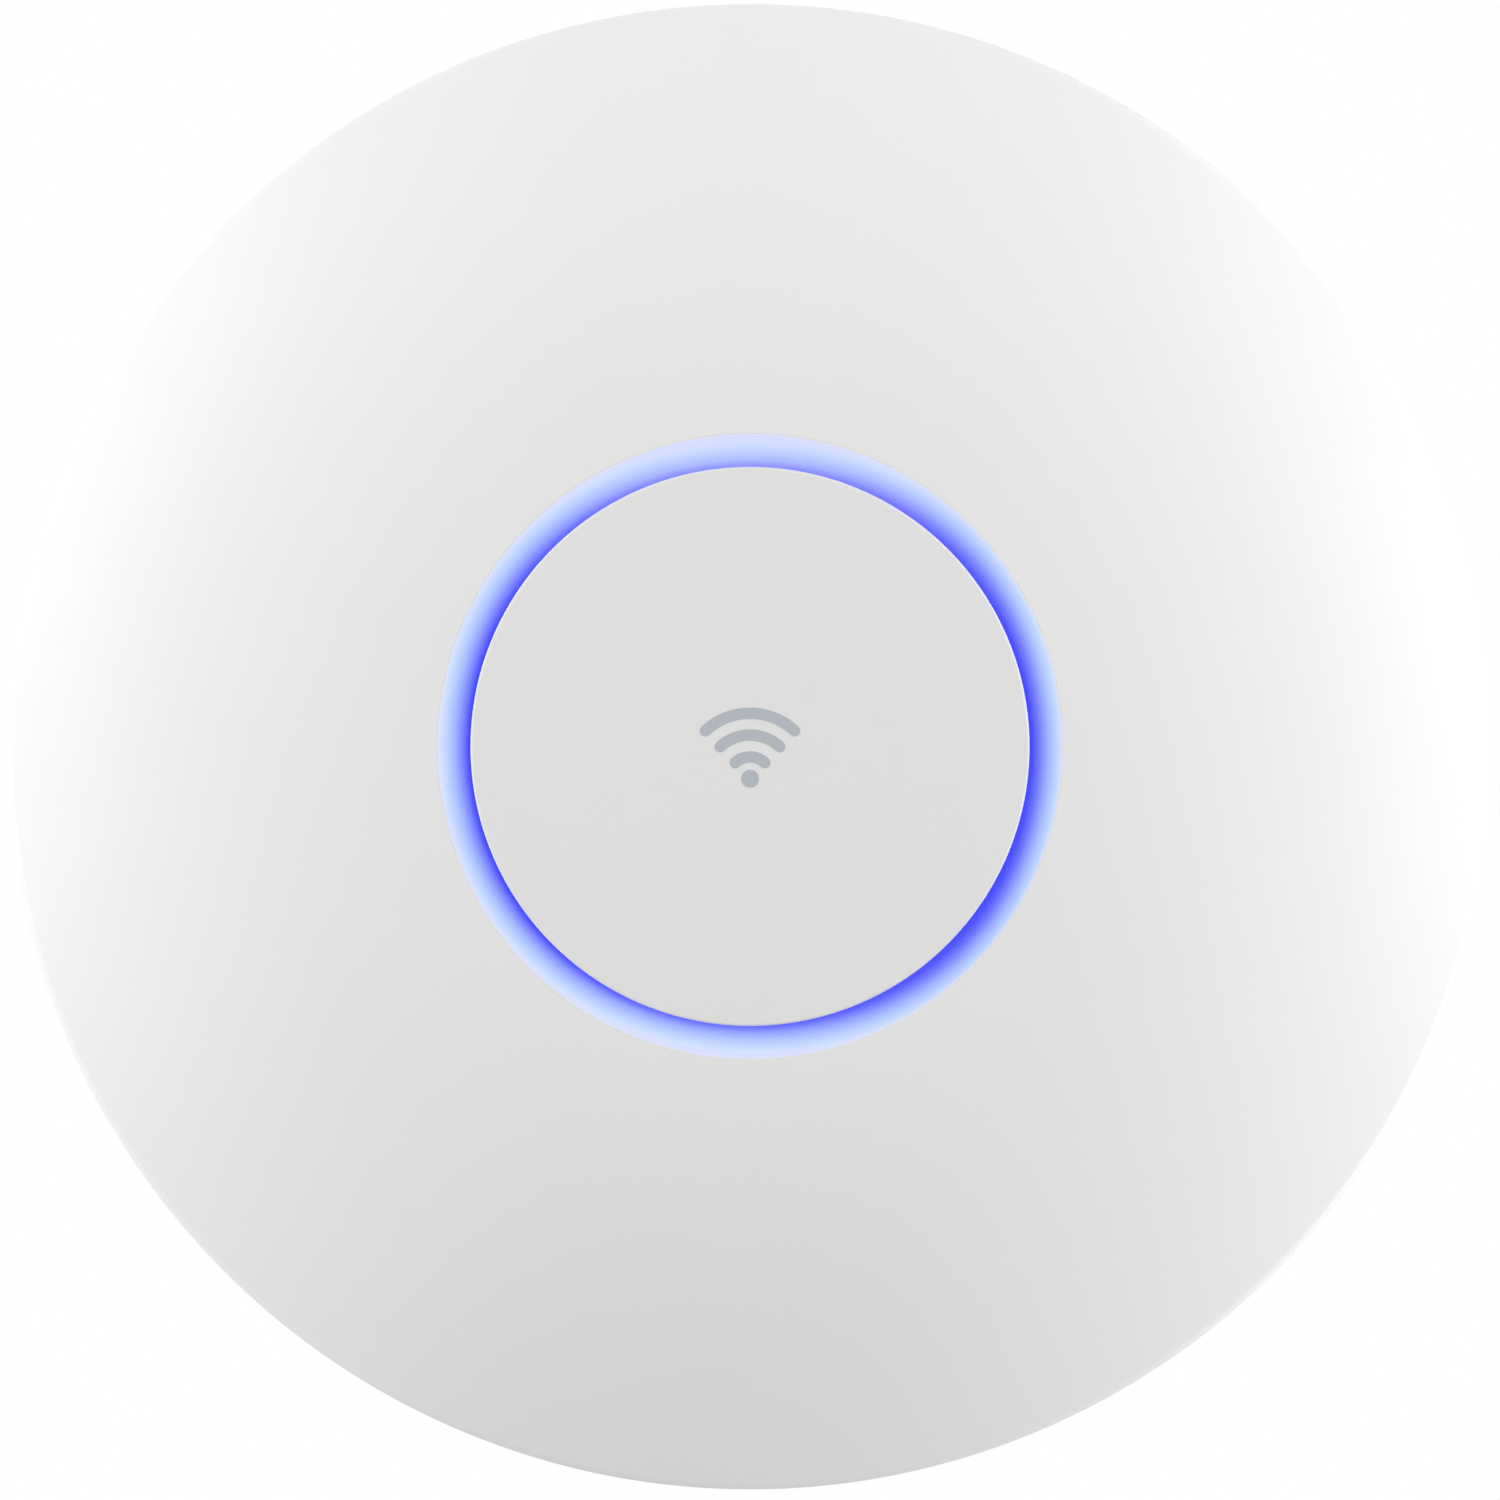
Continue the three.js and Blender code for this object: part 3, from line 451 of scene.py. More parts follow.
def make_board_look():
    """Green solder mask over copper: runs of traces in blocks of two directions, with plated vias."""
    look = Look("circuit_board", (0.012, 0.085, 0.04), 0.33)
    x, y = look.across()

    def steps(value, size):
        return look.math("DIVIDE", value, size * MM)

    def floor(value):
        return look.math("FLOOR", value)

    def chance(a, b):
        """The same random number for a whole cell."""
        cell = look.node("CombineXYZ", X=a, Y=b)
        return look.node("TexWhiteNoise", Vector=cell.outputs[0]).outputs["Value"]

    def from_middle(value):
        return look.math("SUBTRACT", look.math("FRACT", value), 0.5)

    def traces(across, along):
        lane = steps(across, TRACE_PITCH)
        row = floor(lane)
        run = floor(look.math("ADD", steps(along, TRACE_RUN), look.math("MULTIPLY", row, 0.37)))
        thin = look.math("LESS_THAN", look.math("ABSOLUTE", from_middle(lane)), 0.17)
        return look.math("MULTIPLY", thin, look.math("GREATER_THAN", chance(row, run), 0.45))

    block = chance(floor(steps(x, BLOCK)), floor(steps(y, BLOCK)))
    pick = look.node("Mix", Factor=look.math("GREATER_THAN", block, 0.5), A=traces(x, y), B=traces(y, x))
    grid = steps(x, VIA_PITCH), steps(y, VIA_PITCH)
    far = look.length(*(from_middle(g) for g in grid))
    drilled = look.math("GREATER_THAN", chance(*(floor(g) for g in grid)), 0.8)
    via = look.math("MULTIPLY", look.math("LESS_THAN", far, 0.15), drilled)
    raised = look.math("MAXIMUM", look.math("MULTIPLY", pick.outputs[0], 0.5), via)
    mask, trace, plating = (0.009, 0.062, 0.03), (0.018, 0.125, 0.05), (0.42, 0.4, 0.3)
    look.set(Base_Color=look.ramp(raised, (0.0, mask), (0.45, trace), (0.55, trace), (1.0, plating)))
    look.gloss(look.noise(700, 3), 0.26, 0.4)
    look.bump(raised, 0.03)
    return look.material


# Colour, roughness, grain and its relief in millimetres, and how much the colour varies.
MOULDED = {
    "shell_plastic": ((0.80, 0.80, 0.795), 0.42, 0.22, 0.004, 0.012),
    "cap_plastic": ((0.77, 0.77, 0.765), 0.45, 0.22, 0.004, 0.012),
    "mark_ink": ((0.455, 0.487, 0.53), 0.38, 0.22, 0.002, 0.02),
    "rear_plastic": ((0.66, 0.665, 0.66), 0.5, 0.3, 0.012, 0.03),
    "bracket_plastic": ((0.62, 0.63, 0.63), 0.55, 0.35, 0.015, 0.04),
    "black_plastic": ((0.018, 0.018, 0.02), 0.45, 0.15, 0.006, 0.3),
    "label_film": ((0.6, 0.6, 0.59), 0.35, 0.1, 0.002, 0.02),
    "label_ink": ((0.12, 0.12, 0.13), 0.5, 0.1, 0.002, 0.1),
    "chip_ceramic": ((0.05, 0.042, 0.038), 0.4, 0.1, 0.004, 0.6),
    "ferrite": ((0.045, 0.045, 0.048), 0.62, 0.12, 0.02, 0.4),
    "thermal_pad": ((0.26, 0.34, 0.42), 0.8, 0.4, 0.03, 0.15),
    "led_package": ((0.8, 0.78, 0.7), 0.35, 0.1, 0.002, 0.03),
    "led_phosphor": ((0.75, 0.62, 0.12), 0.3, 0.08, 0.004, 0.1),
}
# Colour, roughness, and how much finer the drawn lines are along each axis.
METAL = {
    "spring_steel": ((0.52, 0.52, 0.53), 0.3, (1, 30, 30)),
    "screw_steel": ((0.56, 0.56, 0.58), 0.26, (12, 12, 1)),
    "tin_plate": ((0.66, 0.66, 0.67), 0.28, (1, 18, 1)),
    "spreader_aluminium": ((0.6, 0.61, 0.62), 0.36, (1, 25, 1)),
    "antenna_brass": ((0.6, 0.47, 0.26), 0.3, (1, 20, 1)),
    "winding_copper": ((0.62, 0.26, 0.1), 0.3, (1, 1, 4)),
    "gold_plate": ((0.78, 0.55, 0.24), 0.24, (1, 6, 6)),
}


def make_looks():
    looks = {name: moulded(name, *values) for name, values in MOULDED.items()}
    looks |= {name: rolled_metal(name, *values) for name, values in METAL.items()}
    looks["ring_diffuser"] = make_ring_glow()
    looks["clear_plastic"] = make_clear()
    looks["circuit_board"] = make_board_look()
    return looks


# ---- outlines and solids


def arc(centre, radius, start, end, steps):
    """Points on an arc, with angles in degrees."""
    turns = [math.radians(a) for a in spaced(start, end, steps)]
    return [(centre[0] + radius * math.cos(t), centre[1] + radius * math.sin(t)) for t in turns]


def polar(radius, degrees):
    return (radius * math.cos(math.radians(degrees)), radius * math.sin(math.radians(degrees)))


def circle(radius, sides=64, at=(0, 0)):
    return arc(at, radius, 0, 360 * (sides - 1) / sides, sides - 1)


def rectangle(x0, y0, x1, y1, corner, steps=5):
    return rounded([(x0, y0), (x1, y0), (x1, y1), (x0, y1)], corner, steps)


def around(centre, length, width, corner):
    """A rectangle about a centre, length along X."""
    x, y = centre
    return rectangle(x - length / 2, y - width / 2, x + length / 2, y + width / 2, corner)


def arc_slot(radius, half, start, end, steps=24, end_steps=10):
    """A slot with round ends that follows a circle about the centre."""
    outer = arc((0, 0), radius + half, start, end, steps)
    inner = arc((0, 0), radius - half, end, start, steps)
    far = arc(polar(radius, end), half, end, end + 180, end_steps)[1:-1]
    near = arc(polar(radius, start), half, start + 180, start + 360, end_steps)[1:-1]
    return [*outer, *far, *inner, *near]


def sector(inner, outer, start, end, corner):
    """Part of a ring with rounded corners, between two angles in degrees, with a point every 2 degrees."""
    outline = []
    for radius, a, b in ((outer, start, end), (inner, end, start)):
        clear = math.degrees(2.4 * corner / radius) * (1 if b > a else -1)
        count = max(1, round(abs(b - a - 2 * clear) / 2))
        middle = arc((0, 0), radius, a + clear, b - clear, count)
        outline += [(*polar(radius, a), corner), *middle, (*polar(radius, b), corner)]
    return rounded(outline, steps=3)


def bezier(controls, steps):
    """Points on the curve that a few control points pull."""
    n = len(controls) - 1
    out = []
    for t in spaced(0, 1, steps):
        weights = [math.comb(n, k) * t**k * (1 - t) ** (n - k) for k in range(n + 1)]
        out.append(tuple(sum(w * p[axis] for w, p in zip(weights, controls)) for axis in (0, 1)))
    return out


def offset_outline(points, distance):
    """A counter-clockwise outline moved outwards."""
    if not distance:
        return points
    out = []
    for i, point in enumerate(points):
        here = Vector(point)
        before = (here - Vector(points[i - 1])).normalized()
        after = (Vector(points[(i + 1) % len(points)]) - here).normalized()
        normals = Vector((before.y, -before.x)), Vector((after.y, -after.x))
        spread = max(1 + normals[0].dot(normals[1]), 0.3)
        out.append(tuple(here + (normals[0] + normals[1]) * (distance / spread)))
    return out


def loft(outline, levels):
    """A closed solid whose section at each (z, offset) level is the outline moved out by the offset."""
    return skin([[(x, y, z) for x, y in offset_outline(outline, offset)] for z, offset in levels])


def quarter(radius):
    """(height, inset) pairs of a rounded edge, from its outer face inwards."""
    turns = spaced(0, math.pi / 2, 4)
    return [(radius * (1 - math.cos(t)), radius * (1 - math.sin(t))) for t in turns]


def plate(low_z, high_z, foot=0.3, head=None):
    """Levels of a body whose lower and upper edges are rounded inwards."""
    head = foot if head is None else head
    lower = [(low_z + h, -inset) for h, inset in quarter(foot)] if foot else [(low_z, 0)]
    upper = [(high_z - h, -inset) for h, inset in reversed(quarter(head))] if head else [(high_z, 0)]
    return lower + upper


PAST = 1.0  # a cutter goes this far past the face that it opens


def opening(low_z, high_z, foot=0.0, head=0.0):
    """Levels of a cutter from one face to the other, with mouths that flare. None makes a blind end."""

    def mouth(level, flare, sign):
        if flare is None:
            return [(level, 0)]
        if flare == 0:
            return [(level - sign * PAST, 0)]
        rim = [(level + sign * h, inset) for h, inset in quarter(flare)]
        return [(level - sign * PAST, flare), *rim]

    return mouth(low_z, foot, 1) + mouth(high_z, head, -1)[::-1]


def moved(mesh, at=(0, 0, 0), turn=0.0, tilt=("X", 0)):
    """The mesh moved in millimetres after a turn about Z, and before that a tilt of (axis, degrees)."""
    for axis, degrees in (tilt, ("Z", turn)):
        mesh.transform(Matrix.Rotation(math.radians(degrees), 4, axis))
    mesh.transform(Matrix.Translation(Vector((*at, 0)[:3]) * MM))
    return mesh


def slab(centre, length, width, corner, *levels):
    """A block about a centre, with rounded corners, between the levels that plate() takes."""
    return loft(around(centre, length, width, corner), plate(*levels))


def boolean(base, operation, tools):
    carrier = bpy.data.objects.new("carrier", base)
    helpers = [bpy.data.objects.new("tool", tool) for tool in tools]
    for item in [carrier, *helpers]:
        SCENE.collection.objects.link(item)
    for helper in helpers:
        modifier = carrier.modifiers.new("boolean", "BOOLEAN")
        modifier.operation = operation
        modifier.solver = "MANIFOLD"
        modifier.object = helper
    graph = bpy.context.evaluated_depsgraph_get()
    made = bpy.data.meshes.new_from_object(carrier.evaluated_get(graph))
    for item in [carrier, *helpers]:
        bpy.data.objects.remove(item)
    return made


def join(base, *tools):
    return boolean(base, "UNION", tools)


def cut(base, *tools):
    return boolean(base, "DIFFERENCE", tools)


def common(base, *tools):
    return boolean(base, "INTERSECT", tools)


def gathered(meshes, split=False):
    """Several separate bodies as one mesh, with their end faces split into triangles if asked."""
    bm = bmesh.new()
    for mesh in meshes:
        bm.from_mesh(mesh)
    if split:
        bmesh.ops.triangulate(bm, faces=[f for f in bm.faces if len(f.verts) > 4])
    made = bpy.data.meshes.new("gathered")
    bm.to_mesh(made)
    bm.free()
    return made


def wire(points, radius, sides=10):
    """A closed round rod along [x, y, z] points."""
    path = [Vector(p) for p in points]
    turns = [2 * math.pi * k / sides for k in range(sides)]
    side = (path[1] - path[0]).orthogonal()
    rings = []
    for i, p in enumerate(path):
        along = (path[min(i + 1, len(path) - 1)] - path[max(i - 1, 0)]).normalized()
        side = (side - along * side.dot(along)).normalized()
        up = along.cross(side)
        rings.append([tuple(p + (side * math.cos(t) + up * math.sin(t)) * radius) for t in turns])
    return skin(rings)


def turned(profile, sides, steps=3, at=(0, 0)):
    """A solid of revolution whose profile's corners may carry a radius."""
    return moved(revolve(rounded(profile, steps=steps), sides), at)


def cylinder(radius, low_z, high_z, edge=0.0, sides=64, at=(0, 0)):
    return turned([(0, low_z), (radius, low_z, edge), (radius, high_z, edge), (0, high_z)], sides, 3, at)


def sectors(inner, outer, angles, half, corner, levels):
    """Solid parts of a ring, one about each angle. Half is half their width in degrees."""
    return [loft(sector(inner, outer, a - half, a + half, corner), levels) for a in angles]


def tube(inner, outer, low_z, high_z, edge=0.0, sides=64, at=(0, 0)):
    outline = [(inner, low_z), (outer, low_z), (outer, high_z), (inner, high_z)]
    return moved(revolve(rounded(outline, edge, 3), sides), at)


# ---- front: dome, ring, cap, mark

RING_BACK = -27.9  # level of the ring's rear face, which the cap's snaps reach


def make_front_cover():
    rim_centre = (RADIUS - RIM_ROUND, face_z(RIM_START) + RIM_ROUND * math.cos(RIM_SLOPE))
    lip_inside = extent("rear_cover", 0)[1] + GAP
    hole = RING_RADIUS + 0.025
    face = [(r, face_z(r)) for r in spaced(hole + 0.05, RIM_START, 60)]
    rim = arc(rim_centre, RIM_ROUND, math.degrees(RIM_SLOPE) - 90, 40, 16)[1:]
    rim_end, rim_top = rim[-1]
    lip = [(rim_end, rim_top), (lip_inside + 0.2, rim_top + 0.02), (lip_inside, rim_top - 0.2)]
    inside = [(r, inner_face_z(r)) for r in spaced(lip_inside, hole + 5, 24)]
    step = [(hole + 4.7, inner_face_z(hole + 5) - 0.5), (hole, inner_face_z(hole) - 0.5)]
    shell = revolve([*face, *rim, *lip, *inside, *step, (hole, face_z(hole) + 0.05)], 320)
    root, inner_face, top = face_z(PILLAR_RADIUS) + 1.3, inner_face_z(PILLAR_RADIUS), UNDER - GAP
    for at in PILLARS:
        base = cylinder(PILLAR_THICK + 1.2, root, inner_face + 1.1, 0.6, 48, at)
        pillar = cylinder(PILLAR_THICK, root, top, 0.25, 48, at)
        bore = moved(loft(circle(1.3, 32), opening(-19.5, top, None, 0.4)), at)
        shell = cut(join(shell, base, pillar), bore)
    link("front_cover_shell", shell, "front_cover", "shell_plastic")


def make_light_ring():
    start, end = (CAP_RADIUS + 0.02, -30.55), (RING_RADIUS, face_z(RING_RADIUS))
    cove = bezier([start, (CAP_RADIUS + 0.9, -31.7), end], 18)
    ledge, step, outer, front, shelf = CAP_RADIUS - 3.2, RING_RADIUS - 0.7, RING_RADIUS + 4.5, -28.9, -29.2
    back = [(RING_RADIUS, front), (outer, front), (outer, RING_BACK), (step, RING_BACK), (step, shelf)]
    outline = [(ledge, -30.6), *cove, *back, (ledge, shelf)]
    link("light_ring_diffuser", revolve(outline, 320), "light_ring", "ring_diffuser")


CAP_EDGE = 0.28  # rounding of the cap's edge


def make_centre_cap():
    underside = -30.9
    edge_centre = (CAP_RADIUS - CAP_EDGE, face_z(CAP_RADIUS - CAP_EDGE) + CAP_EDGE)
    face = [(r, face_z(r)) for r in spaced(0, CAP_RADIUS - CAP_EDGE, 24)]
    edge = arc(edge_centre, CAP_EDGE, -90, 0, 8)[1:]
    cap = revolve([*face, *edge, (CAP_RADIUS, underside), (0, underside)], 320)
    inside, angles = CAP_RADIUS - 5, (90, 210, 330)
    legs = sectors(inside, CAP_RADIUS - 3.5, angles, 8, 0.3, plate(underside - 0.5, RING_BACK, 0, 0.3))
    barbs = sectors(inside, CAP_RADIUS - 2.3, angles, 8, 0.3, plate(RING_BACK - 1, RING_BACK, 0.1, 0.6))
    for leg, barb in zip(legs, barbs):
        cap = join(cap, leg, barb)
    link("centre_cap_disc", cap, "centre_cap", "cap_plastic")


MARK_PITCH = 2.3  # step between the arcs of the mark
MARK_LINE = 0.6  # half the width of a stroke
MARK_REACH = 43  # degrees that an arc of the mark spans to each side
MARK_DOT = 0.95
MARK_BASE = 3.4  # how far under the cap's centre the dot sits
MARK_THICK = 0.02  # printed ink


def make_mark():
    """Generic printed radio mark: a dot with three arcs over it."""
    strokes = [circle(MARK_DOT, 32)]
    for n in (1, 2, 3):
        strokes.append(arc_slot(MARK_PITCH * n, MARK_LINE, -90 - MARK_REACH, -90 + MARK_REACH, end_steps=8))
    prints = []
    for stroke in strokes:
        ink = [(x, y + MARK_BASE, face_z(math.hypot(x, y + MARK_BASE))) for x, y in stroke]
        prints.append(skin([[(x, y, z + side) for x, y, z in ink] for side in (MARK_THICK, -MARK_THICK)]))
    link("cap_mark", gathered(prints, split=True), None, "cap_plastic", look="mark_ink")


# ---- rear cover

GAP = 0.3  # clearance between pieces
REAR_RADIUS = 77.6
REAR_FLAT = 63.0
REAR_TOP = -1.2
SEAM_TOP = -12.4
SEAM_FOOT = -13.3
RECESS_RADIUS = 56.0
RECESS_WALL = 3.0
RECESS_FLOOR = -7.0
FLOOR = 1.5
UNDER = RECESS_FLOOR - FLOOR

BRACKET_RADIUS = 49.8
BRACKET_PLATE = 2.0
BRACKET_FOOT = -5.2
TAB_TOP = -3.5
TAB_REACH = 54.5
LUG_REACH = 50.4
LUG_TOP = -1.6
LUG_FOOT = -3.2
BAYONET_ANGLES = (45, 135, 225, 315)
BAYONET_HALF = 8  # degrees
TWIST = 20  # degrees from locked to free

LATCH_ANGLE = 270
LATCH_ROOT = 248.5
LATCH_RADIUS = 48.8
LATCH_PIVOT = polar(LATCH_RADIUS, LATCH_ROOT)
NOSE_TIP = 57.3
NOSE_HALF = 2.0
NOSE_CHAMFER = 0.9
RELEASE_LEVEL = -4.3  # of the hole for the release pin
RELEASE_RADIUS = 0.9

BOARD_TOP = -20.3
BOARD_FOOT = -21.9
PILLAR_RADIUS = 46.0
PILLARS = [polar(PILLAR_RADIUS, angle) for angle in (30, 150, 210, 330)]
PILLAR_THICK = 3.5
BOARD_SCREWS = [polar(41.0, angle) for angle in (57, 123, 237, 303)]
SCREW_HOLE = 1.5
SPREADER_TOP = -12.0
SPREADER_FOOT = -13.5
RESET_AT = (14.5, 10.0)

POCKET_HALF = 14.0
POCKET_START = 23.0
POCKET_END = RECESS_RADIUS - 0.4
POCKET_FLOOR = -18.3
TRAY_END = RECESS_RADIUS + 2
NOTCH_HALF = 4.5
NOTCH_FLOOR = -9.0
COVER_START = 61.0

MARK_ANGLE = 340  # of the lock marks, near the recess's edge


def rear_flank(inset=0.0):
    start, end = (REAR_RADIUS - inset, SEAM_TOP), (REAR_FLAT - 0.6 - inset, REAR_TOP - inset)
    return bezier([start, (74.9 - inset, -7.2), (69.2 - inset, -1.9 - inset), end], 28)


def rear_envelope(inset=0.0):
    """The rear cover's outside as one full solid. Pieces that end at its surface are cut from it."""
    foot = [(0, SEAM_FOOT), (REAR_RADIUS - inset, SEAM_FOOT)]
    return revolve([*foot, *rear_flank(inset), (0, REAR_TOP - inset)])


def rear_level(radius):
    """Level of the rear cover's outside at a radius on its flank."""
    flank = rear_flank()
    for (r0, z0), (r1, z1) in zip(flank, flank[1:]):
        if r1 <= radius <= r0:
            return z0 + (z1 - z0) * (r0 - radius) / (r0 - r1)
    return REAR_TOP


def pocket_outline(inset=0.0, corner=1.2):
    """The cable pocket seen from above: straight sides, and a far end that follows the recess's wall."""
    half, end = POCKET_HALF + inset, POCKET_END + inset
    turn = math.degrees(math.acos(half / end))
    far = arc((0, 0), end, turn, 180 - turn, 16)
    far[0], far[-1] = (*far[0], corner / 2), (*far[-1], corner / 2)
    return rounded([(-half, POCKET_START - inset, corner), (half, POCKET_START - inset, corner), *far])


def latch_notch():
    """Room for the latch's nose, with the ramp that pushes it in as the housing turns."""
    depth = NOSE_TIP + 0.4
    side, reach = 2.8, TWIST + 3
    ramp = []
    for share in spaced(0, 1, 24):
        radius = depth + (RECESS_RADIUS - 0.1 - depth) * share
        ramp.append(polar(radius, LATCH_ANGLE + side + (reach - side) * share))
    mouth = [polar(RECESS_RADIUS - 1.5, LATCH_ANGLE + a) for a in spaced(reach, -side, 16)]
    outline = [polar(depth, LATCH_ANGLE - side), *ramp, *mouth]
    return loft(outline, plate(BRACKET_FOOT - 0.2, LUG_FOOT - 0.1, 0))


def along_y(radius, z, start, end):
    """A round rod along Y."""
    return moved(cylinder(radius, start, end, 0, 32), (0, 0, z), tilt=("X", -90))


def vent_slots():
    pitch, width, count = 4.4, 1.8, 6
    span = (count - 1) * pitch + width
    cutters = []
    for x, y, length in ((20, -12, 20), (-span / 2, -44, 18)):
        for i in range(count):
            left = x + i * pitch
            outline = rectangle(left, y, left + width, y + length, 0.88, 6)
            cutters.append(loft(outline, opening(UNDER, RECESS_FLOOR, 0, 0.25)))
    return cutters


def lock_marks():
    """A sunk dot where the bracket's arrow points when locked, and a sunk ring where it lets go."""
    radius = (RECESS_RADIUS + REAR_FLAT) / 2 - 0.5
    top = opening(REAR_TOP - 0.25, REAR_TOP, None)
    free = tube(0.7, 1.2, REAR_TOP - 0.25, REAR_TOP + PAST, 0, 32, polar(radius, MARK_ANGLE + TWIST))
    dots = ((1.1, 32, 0), (0.32, 16, 5), (0.32, 16, 10), (0.32, 16, 15))
    return [free, *(moved(loft(circle(r, n), top), polar(radius, MARK_ANGLE + a)) for r, n, a in dots)]


def make_rear_cover():
    outside = RECESS_RADIUS + RECESS_WALL
    start, end = (REAR_RADIUS - WALL, SEAM_TOP + 0.3), (REAR_FLAT - 1.6, REAR_TOP - WALL)
    profile = [(start[0], SEAM_FOOT, 0.2), (REAR_RADIUS, SEAM_FOOT, 0.2), *rear_flank()]
    profile += [(RECESS_RADIUS, REAR_TOP, 0.5), (RECESS_RADIUS, RECESS_FLOOR, 0.9), (0, RECESS_FLOOR)]
    profile += [(0, UNDER), (outside, UNDER, 0.5), (outside, end[1], 0.4)]
    profile += bezier([start, (73, -8), (68, -3.6), end], 20)[::-1]
    within = rear_envelope(0.6)
    trough = rectangle(-NOTCH_HALF - FLOOR, TRAY_END + GAP, NOTCH_HALF + FLOOR, RADIUS, 0.6)
    trough = loft(trough, plate(NOTCH_FLOOR - FLOOR, REAR_TOP, 0))
    pin_tube = along_y(2.6, RELEASE_LEVEL, -REAR_RADIUS, -RECESS_RADIUS - 1)
    levels = plate(LUG_FOOT, LUG_TOP, 0.2)
    lugs = sectors(LUG_REACH, RECESS_RADIUS + 1, BAYONET_ANGLES, BAYONET_HALF, 0.7, levels)
    posts = [cylinder(PILLAR_THICK, SPREADER_TOP + GAP, UNDER + 0.2, 0.3, 48, at) for at in BOARD_SCREWS]
    guide = cylinder(3, SPREADER_TOP + GAP, UNDER + 0.2, 0.2, 48, RESET_AT)
    body = turned(profile, 256, 5)
    body = join(body, common(trough, within), common(pin_tube, within), *lugs, *posts, guide)

    mouth = [(RECESS_FLOOR - 0.3, 0), (RECESS_FLOOR, 0.3), (PAST, 0.3)]
    pocket = loft(pocket_outline(), [(POCKET_FLOOR, 0), *mouth])
    notch = loft(
        rectangle(-NOTCH_HALF, POCKET_START + 5, NOTCH_HALF, RADIUS + 5, 0),
        [(NOTCH_FLOOR, -0.5), (NOTCH_FLOOR + 0.15, -0.15), (NOTCH_FLOOR + 0.5, 0), (PAST, 0)],
    )
    pin_hole = along_y(RELEASE_RADIUS, RELEASE_LEVEL, -RADIUS, -RECESS_RADIUS)
    drills = [cylinder(1.4, UNDER - 1, 0, 0, 32, at) for at in PILLARS]
    blind = [cylinder(SCREW_HOLE, SPREADER_TOP - 1, UNDER + 0.3, 0, 32, at) for at in BOARD_SCREWS]
    button_bore = cylinder(2.1, SPREADER_TOP, UNDER, 0, 32, RESET_AT)
    button_hole = moved(loft(circle(1.1, 32), opening(UNDER, RECESS_FLOOR, 0, 0.35)), RESET_AT)
    ejector_at = [(0, -14), (-8, 4), (8, -6), (48, 14), (-48, -12), (-30, 28), (30, -30), (-30, -34)]
    ejectors = [cylinder(2, RECESS_FLOOR - 0.12, RECESS_FLOOR + 1, 0, 40, at) for at in ejector_at]
    body = cut(body, pocket, notch, latch_notch(), pin_hole, *drills, *blind, button_bore, button_hole)
    body = cut(body, *vent_slots(), *lock_marks(), *ejectors)
    link("rear_cover_shell", body, "rear_cover", "rear_plastic")


def make_cable_tray():
    top, foot = UNDER - GAP, POCKET_FLOOR - FLOOR
    body = loft(pocket_outline(FLOOR, 1.5), plate(foot, top, 0.4, 0))
    ears = [
        loft(rectangle(x, 27, x + 3.5, 49, 0.8), plate(top - 1.2, top, 0.15))
        for x in (-POCKET_HALF - FLOOR - 3, POCKET_HALF + FLOOR - 0.5)
    ]
    inside = loft(pocket_outline(), [(POCKET_FLOOR, -0.5), (POCKET_FLOOR + 0.5, 0), (1, 0)])
    half = extent("jack_shield", 0)[1] + GAP
    window = rectangle(-half, POCKET_START - 2.5, half, POCKET_START + 0.8, 0.3)
    window = loft(window, plate(foot - 1, top + 1, 0))
    link("cable_tray_moulding", cut(join(body, *ears), inside, window), "cable_tray", "rear_plastic")


def make_cable_cover():
    half, foot, wall = NOTCH_HALF - GAP, NOTCH_FLOOR + GAP, 1.4
    blank = loft(rectangle(-half, COVER_START, half, RADIUS + 5, 0.4, 4), plate(foot, REAR_TOP - 0.1, 0.4))
    hollow = rectangle(wall - half, COVER_START - 1, half - wall, RADIUS, 0.3)
    hollow = loft(hollow, plate(foot + wall, REAR_TOP - 1.5, 0))
    shaped = cut(common(blank, rear_envelope()), common(hollow, rear_envelope(1.6)))
    grooves = [
        moved(cylinder(0.42, -2.6, 2.6, 0, 20), (0, y, rear_level(y) + 0.1), tilt=("Y", 90))
        for y in (66.5, 68.2, 69.9, 71.6)
    ]
    link("cable_cover_door", cut(shaped, *grooves), "cable_cover", "rear_plastic", body="cable_door")


# ---- bracket, latch, label


